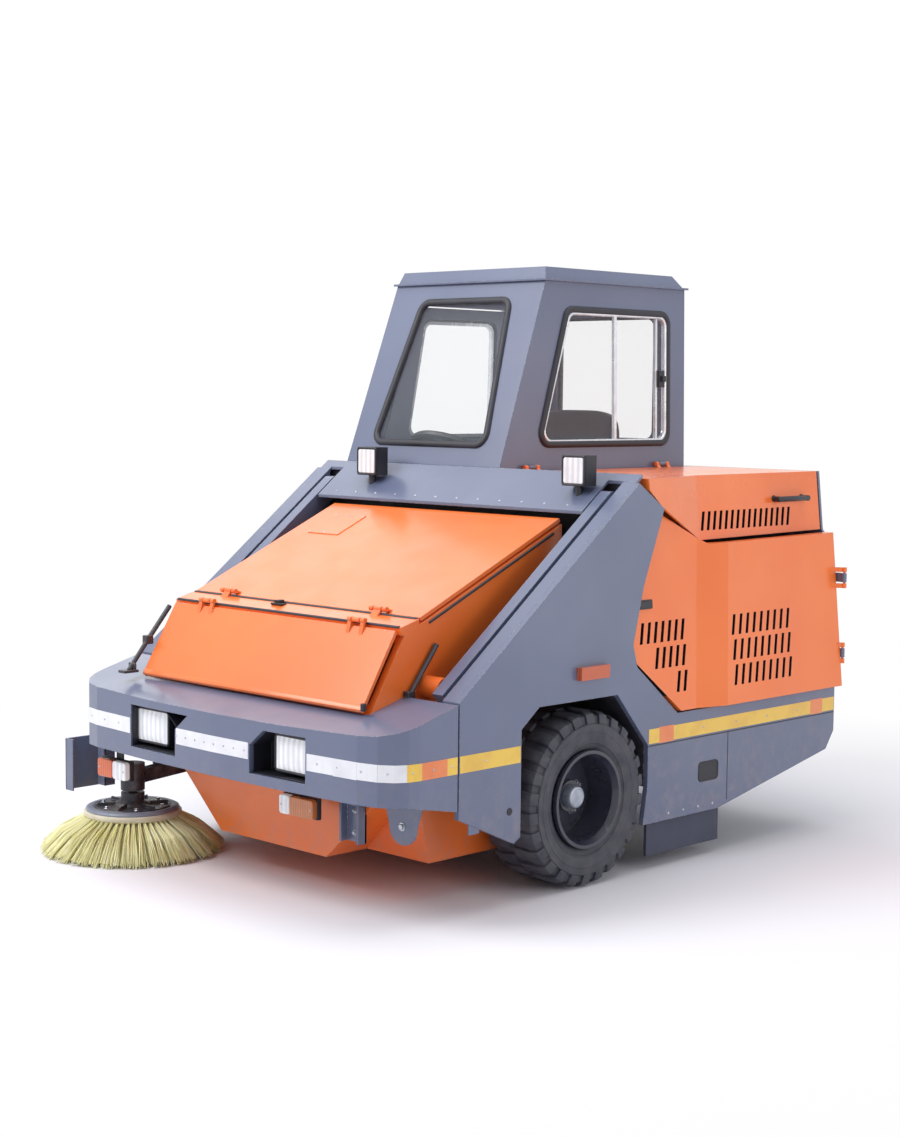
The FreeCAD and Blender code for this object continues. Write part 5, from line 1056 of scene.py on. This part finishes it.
def side_of(radius, half, bead):
    """How far out the side wall stands at that radius: fullest two thirds of the way up."""
    share = (radius - bead) / ((1 - BEAD_SHARE) * bead / BEAD_SHARE)
    return half * (0.80 + 0.20 * math.sin(math.pi * min(1, share * 0.78)) ** 0.7)


def carcass(form, centre, radius, half, bead):
    """The ring under the lugs, with raised mould rings on its sides."""
    base, shoulder = radius - GROOVE_MM, radius - LUG_MM
    wall = []
    for k in range(13):
        r = bead + (shoulder - bead) * k / 12
        wall.append((r, side_of(r, half, bead)))
    for share, proud in ((0.2, 2.5), (0.48, 2.0)):
        r = bead + (radius - bead) * share
        w = side_of(r, half, bead)
        wall += [(r - 3, w), (r - 2, w + proud), (r + 2, w + proud), (r + 3, side_of(r + 3, half, bead))]
    wall = sorted(wall) + [(shoulder + 3, half - 9), (base - 6, half - 15), (base, half - 28)]
    section = [(r, min(w, half)) for r, w in wall]
    section = section + [(r, -w) for r, w in reversed(section)]
    steps = 120
    rows = [ring_row(form, centre, math.tau * k / steps, section) for k in range(steps)]
    for k in range(steps):
        ring_faces(form, rows[k], rows[(k + 1) % steps])


def lugs(form, centre, radius, half, bead):
    """Blocks with worn edges, from near the crown over the shoulder."""
    count = round(math.tau * radius / (LUG_MM * 1.62))
    pitch = math.tau / count
    low = radius - LUG_MM
    section = [(radius - GROOVE_MM - 2, 5), (radius - 1, 8), (radius, half * 0.4), (radius - 1, half * 0.72),
               (radius - 10, half * 0.93), (low + 8, half), (low, side_of(low, half, bead) - 3),
               (radius - 26, half * 0.82)]
    for sign in (1, -1):
        for k in range(count):
            start = pitch * (k + (0.5 if sign < 0 else 0))
            rows = []
            for share, sink in ((0, 3), (0.05, 0), (0.3, 0), (0.53, 0), (0.58, 3)):
                skew = 0.16 * pitch
                line = []
                for r, across in section:
                    angle = start + pitch * share + skew * across / half
                    way = Vector((0, math.cos(angle), math.sin(angle)))
                    line.append(form.verts.new(centre + way * (r - sink) / 1000
                                               + LEFT * sign * (across - sink * 0.3) / 1000))
                rows.append(line)
            for first, second in zip(rows, rows[1:]):
                ring_faces(form, first, second)
            form.faces.new(rows[0])
            form.faces.new(rows[-1])


TYRES = {"tyre_front_left": "front_left_wheel", "tyre_front_right": "front_right_wheel",
         "tyre_rear": "rear_wheel"}
for node, body in TYRES.items():
    low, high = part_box(node)
    centre = (low + high) / 2
    radius, half = (high.z - low.z) * 500, (high.x - low.x) * 500
    bead = radius * BEAD_SHARE
    ring = piece(node + "_carcass", body, tyre_rubber,
                 lambda form: carcass(form, centre, radius, half, bead), sharp_deg=30)
    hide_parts(node)
    tread = piece(node + "_lugs", body, tyre_rubber, lambda form: lugs(form, centre, radius, half, bead))
    print(node, round(radius), round(half * 2), "lug faces", len(tread.data.polygons))

# %% [markdown]
# ## Wheels
# Each front wheel has a deep dark disc with six nuts and a light alloy cap on its hub, turned and pressed
# parts that a revolved outline gives.

# %% Wheel trim
WHEELS = (("left", 1), ("right", -1))
WHEEL_STATION, WHEEL_UP, HUB_OUT = 996, 310, 762
for name, sign in WHEELS:
    body = "front_" + name + "_wheel"
    axis = LEFT * sign
    hub = at(0, WHEEL_STATION, WHEEL_UP)

    def cap(form):
        outline = [(0, -6), (40, -6), (42, 8), (39, 30), (35, 34), (30, 35), (28, 33), (0, 34)]
        turned(form, hub, axis, [(radius, HUB_OUT + out) for radius, out in outline], 40)

    piece("hub_cap_" + name, body, cap_alloy, cap, sharp_deg=40)

    def nuts(form):
        face, normal = touch("rim_front_" + name, at(sign * 1200, WHEEL_STATION + 90, WHEEL_UP), -axis)
        for k in range(6):
            angle = math.tau * (k + 0.25) / 6
            spot = at(0, WHEEL_STATION + 92 * math.cos(angle), WHEEL_UP + 92 * math.sin(angle))
            spot.x = face.x
            bolt(form, spot, axis, 11, 12)
            turned(form, spot + axis * 0.012, axis, [(6, 0), (6, 9), (0, 10)], 10)

    piece("wheel_nuts_" + name, body, zinc_plate, nuts)

    print(body, "trim")

# %% [markdown]
# ## Rivets and bolts
# Small heads say how big a machine is. They stand where sheets meet: along the cowl's lower edge and along
# the top of each skirt.

# %% Rivets


def cowl_rivets(form):
    for k in range(12):
        across = -610 + k * 1220 / 11
        spot, normal = touch("cowl", at(across, 1132, 3000), -UP)
        dome(form, spot, normal, 5, 2.5)


piece("cowl_rivets", "machine", zinc_plate, cowl_rivets)


def skirt_rivets(form):
    for sign in (1, -1):
        for k in range(4):
            dome(form, at(sign * HALF_MM, 1440 + k * 88, 198), LEFT * sign, 5, 2.5)


piece("skirt_rivets", "machine", zinc_plate, skirt_rivets)

# %% [markdown]
# ## Trim on the hopper
# The real hopper has rubber where its lid and its dump door close, a hemmed lip along the door's foot, a
# patch plate on the lid and a thin dark line down each side of its nose, drawn here as a rigid steel strut.
# Rubber is an extruded bead, so a small section swept along the joint makes it.

# %% Hopper seals
TUB_HALF = 600
LID_NEAR, LID_LOW, LID_RISE = 412, 967, 0.43948
BEAD = [(-5, -3), (5, -3), (5, 1), (3, 3.5), (-3, 3.5), (-5, 1)]


def front_seals(form):
    """One bead under the dump door's top edge and one in front of the lid."""
    for along in (322, 402):
        ends = [touch("hopper_tub", at(across, along, 1600), -UP) for across in (-590, 590)]
        if ends[0][0] and ends[1][0]:
            swept(form, ends, BEAD)


def side_seals_and_gap_shade(form):
    """A black bead on each side of the tub under the lid's edge: a seal, and painted shade of the gap."""
    for sign in (1, -1):
        ends = [touch("hopper_tub", at(sign * 1100, along, up), LEFT * -sign)
                for along, up in ((450, 948), (760, 1084), (1070, 1220))]
        ends = [end for end in ends if end[0]]
        if len(ends) > 1:
            swept(form, ends, BEAD)


piece("hopper_front_seals", "hopper", seal_rubber, front_seals, sharp_deg=60)
piece("hopper_side_seals_and_gap_shade", "hopper", seal_rubber, side_seals_and_gap_shade, sharp_deg=60)

# %% Door lip and lid plate
DOOR_FOOT_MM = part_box("dump_door")[0].z * 1000


def door_lip(form):
    """The sheet's foot, folded back on itself into a rounded hem."""
    up = DOOR_FOOT_MM + 16
    ends = [touch("dump_door", at(across, -600, up), BACK) for across in (-585, 585)]
    if ends[0][0] and ends[1][0]:
        swept(form, ends, [(-9, -2), (9, -2), (10, 1), (7, 4), (-7, 4), (-10, 1)])


def lid_plate(form):
    """A patch plate screwed on the lid."""
    outline = rectangle((-495, 872), (-320, 1025), 8)
    flat = [at(p.x, p.y, LID_LOW + (p.y - LID_NEAR) * LID_RISE) for p in outline]
    spot, normal = touch("hopper_lid", at(-408, 950, 2000), -UP)
    drop = (spot - flat[0]).dot(normal) if spot else 0
    prism(form, [p + normal * (drop - 0.001) for p in flat], normal * 0.004)


def lid_rivets(form):
    for across in (-485, -408, -330):
        for along in (882, 1015):
            spot, normal = touch("hopper_lid", at(across, along, 2000), -UP)
            dome(form, spot + normal * 0.003, normal, 4.5, 2)


piece("dump_door_lip", "dump", orange_enamel, door_lip, 1, sharp_deg=50)
piece("lid_plate", "lid", orange_enamel, lid_plate, 1)
piece("lid_plate_rivets", "lid", zinc_plate, lid_rivets)

# %% Hopper struts
# (along, up) of the foot, the clamp and the top, on the machine's left and on its right
STRUT_STOPS = ((1, ((237, 640), (347, 713), (474, 875))), (-1, ((114, 690), (200, 796), (301, 915))))


def struts(form):
    """A thin steel strut down each side of the tub's nose, with its clamp and its foot."""
    ring = [(9 * math.cos(math.tau * k / 12), 9 * math.sin(math.tau * k / 12)) for k in range(12)]
    for sign, stops in STRUT_STOPS:
        across = sign * (TUB_HALF + 14)
        swept(form, [(at(across, along, up), LEFT * sign) for along, up in stops], ring)
        (foot, floor_up), (clamp, clamp_up) = stops[:2]
        blocks(form, ((across - 13, clamp - 16, clamp_up - 16), (across + 13, clamp + 16, clamp_up + 16)),
               ((across - 20, foot - 34, floor_up - 8), (across + 20, foot + 30, floor_up + 2)),
               ((across - 20, foot + 12, floor_up - 2), (across + 20, foot + 20, floor_up + 26)))


piece("hopper_struts", "hopper", frame_enamel, struts, 2, sharp_deg=50)


def strip_latch(form):
    """The lid's small latch on the strip in front of it."""
    spot, normal = touch("hopper_tub", at(-86, 380, 1600), -UP)
    low = spot - normal * 0.002
    prism(form, [low + LEFT * x + BACK * y for x, y in ((-0.03, -0.014), (0.03, -0.014), (0.03, 0.014),
                                                         (-0.03, 0.014))], normal * 0.008)
    prism(form, [low + LEFT * x + BACK * y for x, y in ((-0.012, -0.01), (0.012, -0.01), (0.012, 0.02),
                                                         (-0.012, 0.02))], normal * 0.02)


piece("lid_latch", "hopper", moulded_abs, strip_latch, 2)


def door_gap_shade(form):
    # a small black block at the door's foot corner: painted shade of the gap there
    block(form, (590, 148, 680), (606, 162, 706))


piece("dump_door_gap_shade", "hopper", seal_rubber, door_gap_shade, 2)

# %% [markdown]
# ## Guards and brackets under the bumper
# Bent plates stand outside the side brush, and a flat hanger with a round foot and a folded channel hang
# under the bumper. Each is cut from flat sheet and folded, so each fold is a block that meets the next one.

# %% Guards
HANGER_ACROSS, HANGER_HALF, FOOT_RADIUS, FOOT_UP = 692, 92, 62, 302


def brush_guard(form):
    """Two folded angles in front of the brush, joined to the bumper by a flat bar."""
    blocks(form, ((-1000, 100, 192), (-994, 262, 390)), ((-1000, 100, 192), (-952, 106, 390)),
           ((-912, 215, 204), (-906, 262, 390)), ((-954, 215, 204), (-906, 221, 390)),
           ((-1000, 245, 384), (-836, 262, 390)))


def bumper_hangers(form):
    """A flat hanger with a round foot, and a folded channel beside it."""
    turns = [math.radians(degrees) for degrees in range(180, 361, 12)]
    foot = [(HANGER_ACROSS + FOOT_RADIUS * math.cos(a), FOOT_UP + FOOT_RADIUS * math.sin(a)) for a in turns]
    left, right = HANGER_ACROSS + HANGER_HALF, HANGER_ACROSS - HANGER_HALF
    outline = foot + [(left, 394), (left, 674), (right, 674), (right, 394)]
    prism(form, [at(x, 244, z) for x, z in outline], BACK * 0.012)
    blocks(form, ((385, 246, 204), (395, 285, 345)), ((470, 246, 204), (480, 285, 345)),
           ((385, 275, 204), (480, 285, 345)), ((385, 246, 335), (480, 285, 345)))


def hanger_bolts(form):
    for across, up in ((692, 302), (640, 450), (744, 450)):
        bolt(form, at(across, 244, up), -BACK, 10, 8)
    for up in (235, 310):
        bolt(form, at(432, 275, up), -BACK, 7, 6)
    for up in (260, 340):
        bolt(form, at(-1000, 190, up), -LEFT, 7, 6)


piece("brush_guard", "hopper", slate_enamel, brush_guard, 1.2)
piece("bumper_hangers", "hopper", slate_enamel, bumper_hangers, 1.5)
piece("hanger_bolts", "hopper", zinc_plate, hanger_bolts)
print("hopper trim done")

# %% [markdown]
# ## Handles, pockets and seams on the sides
# The engine door has a sunk paddle latch, the hood has a black grip on its bar, and the side panel has a
# drain hole, a black pocket and the joints between its sheets.

# %% Side trim


def paddle_latch(form):
    spot, normal = touch("engine_door", at(1600, 1308, 967), -LEFT)
    side_way = normal.cross(UP).normalized()
    rise = side_way.cross(normal).normalized()
    for half_wide, half_tall, deep, out in ((50, 17, -1, 3), (30, 11, 2, 9)):
        outline = rectangle((-half_wide, -half_tall), (half_wide, half_tall), 6)
        flat = [spot + side_way * p.x / 1000 + rise * p.y / 1000 + normal * deep / 1000 for p in outline]
        prism(form, flat, normal * (out - deep) / 1000)


piece("engine_door_latch", "engine_side_door", moulded_abs, paddle_latch, 1.5)


def hood_grip(form):
    """A black sleeve over the hood's bar and its two legs."""
    bar, normal = touch("engine_hood", at(1600, 2268, 1316), -LEFT)
    centre = bar - LEFT * 0.008
    turned(form, Vector((centre.x, at(0, 2163, 0).y, centre.z)), BACK,
           [(0, 0), (9, 0), (10.5, 2), (10.5, 208), (9, 210), (0, 210)], 20)
    for along in (2175, 2361):
        leg = Vector((centre.x, at(0, along, 0).y, centre.z))
        turned(form, leg, -LEFT, [(11, -9), (11, 26), (15, 27), (15, 32)], 20)


piece("hood_grip", "hood", moulded_abs, hood_grip, 0, sharp_deg=50)


def side_pockets(form):
    """A black pocket and a drain hole's rubber ring, all thin and proud of the sheet."""
    outline = rectangle((1617, 290), (1731, 360), 14, 5)
    prism(form, [at(HALF_MM - 0.5, p.x, p.y) for p in outline], LEFT * 0.0015)
    frame_path = [(at(HALF_MM, p.x, p.y), LEFT) for p in outline]
    swept(form, frame_path, [(-3, -0.5), (3, -0.5), (2, 3), (-2, 3)], closed=True)
    turned(form, at(HALF_MM, 587, 327), LEFT, [(0, -1), (13, -1), (13, 1.5), (10, 2), (9, 1), (0, 1)], 32)


def side_seams(form):
    """The dark joints between the side panel's sheets."""
    for sign in (1, -1):
        block(form, (sign * (HALF_MM - 0.5), 1319, 456), (sign * (HALF_MM + 0.5), 2494, 460))
        block(form, (sign * (HALF_MM - 0.5), 1790, 200), (sign * (HALF_MM + 0.5), 1794, 456))


piece("side_pocket", "machine", moulded_abs, side_pockets, 0.5)
piece("side_seams", "machine", seal_rubber, side_seams)


def panel_clip(form):
    """A clip under the side panel's nose, drawn as a plain block on each side."""
    for sign in (1, -1):
        block(form, (sign * (HALF_MM - 8), 395, 275), (sign * (HALF_MM - 2), 445, 324))


piece("panel_clips", "machine", slate_enamel, panel_clip, 1.5)
print("side trim done")

# %% [markdown]
# ## The driver's seat
# A seat is foam pushed into a sewn cover, so it crowns between its seams. Each cushion starts as a block
# with its seams pinned, and cloth under air pressure blows the panels up between them, as foam does.

# %% Seat
CUTS, PRESSURE, BLOW_FRAMES = 17, 4, 20
SEAT_ACROSS = -350


def cushion(name, centre, size_mm, tilt_deg, crown_mm):
    """One cushion: a dense rounded block whose cover is blown up between its seams."""
    form = bmesh.new()
    bmesh.ops.create_cube(form, size=1)
    bmesh.ops.subdivide_edges(form, edges=form.edges, cuts=CUTS, use_grid_fill=True)
    half = Vector(size_mm) / 2000
    seams = []
    for vertex in form.verts:
        unit = vertex.co * 2
        power = 5
        length = (abs(unit.x) ** power + abs(unit.y) ** power + abs(unit.z) ** power) ** (1 / power)
        unit = unit / length
        vertex.co = Vector((unit.x * half.x, unit.y * half.y, unit.z * half.z))
        swell = (1 - min(1, abs(unit.x)) ** 3) * (1 - min(1, abs(unit.y)) ** 3)
        channel = max(0.0, 1 - abs(abs(unit.x) - 0.42) / 0.07)
        if unit.z > 0:
            vertex.co.z += (crown_mm / 1000 - channel * 0.008) * swell
        if unit.z < -0.5 or channel > 0.5 or max(abs(unit.x), abs(unit.y)) > 0.93:
            seams.append(vertex.index)
    mesh = bpy.data.meshes.new(name)
    form.to_mesh(mesh)
    form.free()
    made = bpy.data.objects.new(name, mesh)
    scene.collection.objects.link(made)
    mesh.materials.append(seat_cloth)
    made.location = centre
    made.rotation_euler.x = math.radians(tilt_deg)
    blow_up(made, seams)
    made.data.shade_smooth()
    smooth = made.modifiers.new("smooth", "SUBSURF")
    smooth.levels = 1
    smooth.render_levels = 1
    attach(made, "machine")
    return made


def blow_up(made, seams):
    """Cloth under pressure, held at its seams, kept as the cushion's own mesh."""
    made.vertex_groups.new(name="seams").add(seams, 1.0, "REPLACE")
    cloth = made.modifiers.new("cover", "CLOTH")
    cloth.settings.use_pressure = True
    cloth.settings.uniform_pressure_force = PRESSURE
    cloth.settings.effector_weights.gravity = 0
    cloth.settings.vertex_group_mass = "seams"
    cloth.point_cache.frame_start = 1
    cloth.point_cache.frame_end = BLOW_FRAMES
    for step in range(1, BLOW_FRAMES + 1):
        scene.frame_set(step)
    ready = made.evaluated_get(bpy.context.evaluated_depsgraph_get())
    blown = bpy.data.meshes.new_from_object(ready)
    made.modifiers.clear()
    made.data = blown
    scene.frame_set(1)


base = cushion("seat_cushion", at(SEAT_ACROSS, 1977, 1080), (450, 425, 92), 2, 10)
rest = cushion("seat_back", at(SEAT_ACROSS, 2272, 1392), (440, 510, 84), 90 - 7.7, 10)
for made in (base, rest):
    print(made.name, "size in mm:", [round(v * 1000) for v in made.dimensions])

# %% Seat pedestal


def pedestal(form):
    block(form, (SEAT_ACROSS - 170, 1820, 583), (SEAT_ACROSS + 170, 2190, 1010))
    block(form, (SEAT_ACROSS - 220, 1765, 1008), (SEAT_ACROSS + 220, 2262, 1034))
    for sign in (1, -1):
        block(form, (SEAT_ACROSS + sign * 205, 2200, 1010), (SEAT_ACROSS + sign * 222, 2268, 1240))


stand = piece("seat_pedestal", "machine", frame_enamel, pedestal, 6)
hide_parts("driver_seat")

# %% [markdown]
# ## Floor and light
# A plain pale floor runs out to white, as on a studio sweep. It keeps the machine's shadow. The world is a
# soft white room. A large key lamp above the front gives shape, two boxes lay a sheen on the lid and the
# left side, and two more fill from above and from the side. Camera, mirrors and glass see plain white.

# %% Stage
floor_mesh = bpy.data.meshes.new("floor")
form = bmesh.new()
bmesh.ops.create_circle(form, cap_ends=True, radius=60, segments=64)
form.to_mesh(floor_mesh)
form.free()
floor = bpy.data.objects.new("floor", floor_mesh)
scene.collection.objects.link(floor)
floor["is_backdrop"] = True


def seen(tree):
    """One where a ray comes from the camera, a mirror or glass."""
    path = add(tree, "LightPath")
    rays = add(tree, "Math", {0: path.outputs["Is Camera Ray"], 1: path.outputs["Is Glossy Ray"]},
               operation="ADD")
    return add(tree, "Math", {0: rays, 1: path.outputs["Is Transmission Ray"]},
               operation="ADD", use_clamp=True)


studio = bpy.data.materials.new("studio_floor")
studio.use_nodes = True
tree = studio.node_tree
tree.nodes.clear()
place = add(tree, "TexCoord").outputs["Object"]
matt = add(tree, "BsdfDiffuse", {"Color": linear("F4F3F8")})
white = add(tree, "Emission", {"Color": (1, 1, 1, 1), "Strength": 1.0})
away = add(tree, "VectorMath", {0: place}, operation="LENGTH").outputs["Value"]
far = add(tree, "MapRange", {"Value": away, "From Min": 1.7, "From Max": 3.8})
blend = add(tree, "Math", {0: far, 1: seen(tree)}, operation="MULTIPLY")
mixed = add(tree, "MixShader", {"Fac": blend, 1: matt, 2: white})
add(tree, "OutputMaterial", {"Surface": mixed})
floor_mesh.materials.append(studio)

world = bpy.data.worlds.new("studio")
scene.world = world
world.use_nodes = True
tree = world.node_tree
tree.nodes.clear()
room = add(tree, "Background", {"Color": linear("F2F3FA"), "Strength": 0.45})
sheet = add(tree, "Background", {"Color": (1, 1, 1, 1), "Strength": 1.0})
mixed = add(tree, "MixShader", {"Fac": seen(tree), 1: room, 2: sheet})
add(tree, "OutputWorld", {"Surface": mixed})


def softbox(name, place, aim, size, power, tone="FFFFFF"):
    """A large square lamp that looks at a point."""
    made = bpy.data.objects.new(name, bpy.data.lights.new(name, "AREA"))
    scene.collection.objects.link(made)
    made.data.shape = "SQUARE"
    made.data.size = size
    made.data.energy = power
    made.data.color = linear(tone)[:3]
    made.location = place
    made.rotation_mode = "QUATERNION"
    made.rotation_quaternion = (Vector(aim) - Vector(place)).to_track_quat("-Z", "Y")
    return made


softbox("key", (-2.5, -4.5, 5.5), (0, 0, 0.6), 3.5, 300)
softbox("sheen", (-4.3, 2.2, 4.5), (0, 0, 1.0), 4.0, 45)
softbox("side_sheen", (4.8, 4.4, 1.2), (0.8, 0, 0.8), 2.6, 12)
softbox("overhead", (0.5, 0.5, 6.5), (0, 0, 0), 5.0, 190)
softbox("side_fill", (6.0, 0.5, 2.5), (0, 0, 0.9), 3.0, 55)
scene.view_settings.view_transform = "Standard"

# %% [markdown]
# ## Sizes
# The CAD model's box and the dressed model's box are compared, and how far each corner moved is printed.
# The visual model has to stay in the CAD model's box.

# %% Finish
new_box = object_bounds()
for old, new in zip(cad_box, new_box):
    print("box corner moved by, mm:", [round((b - a) * 1000, 1) for a, b in zip(old, new)])
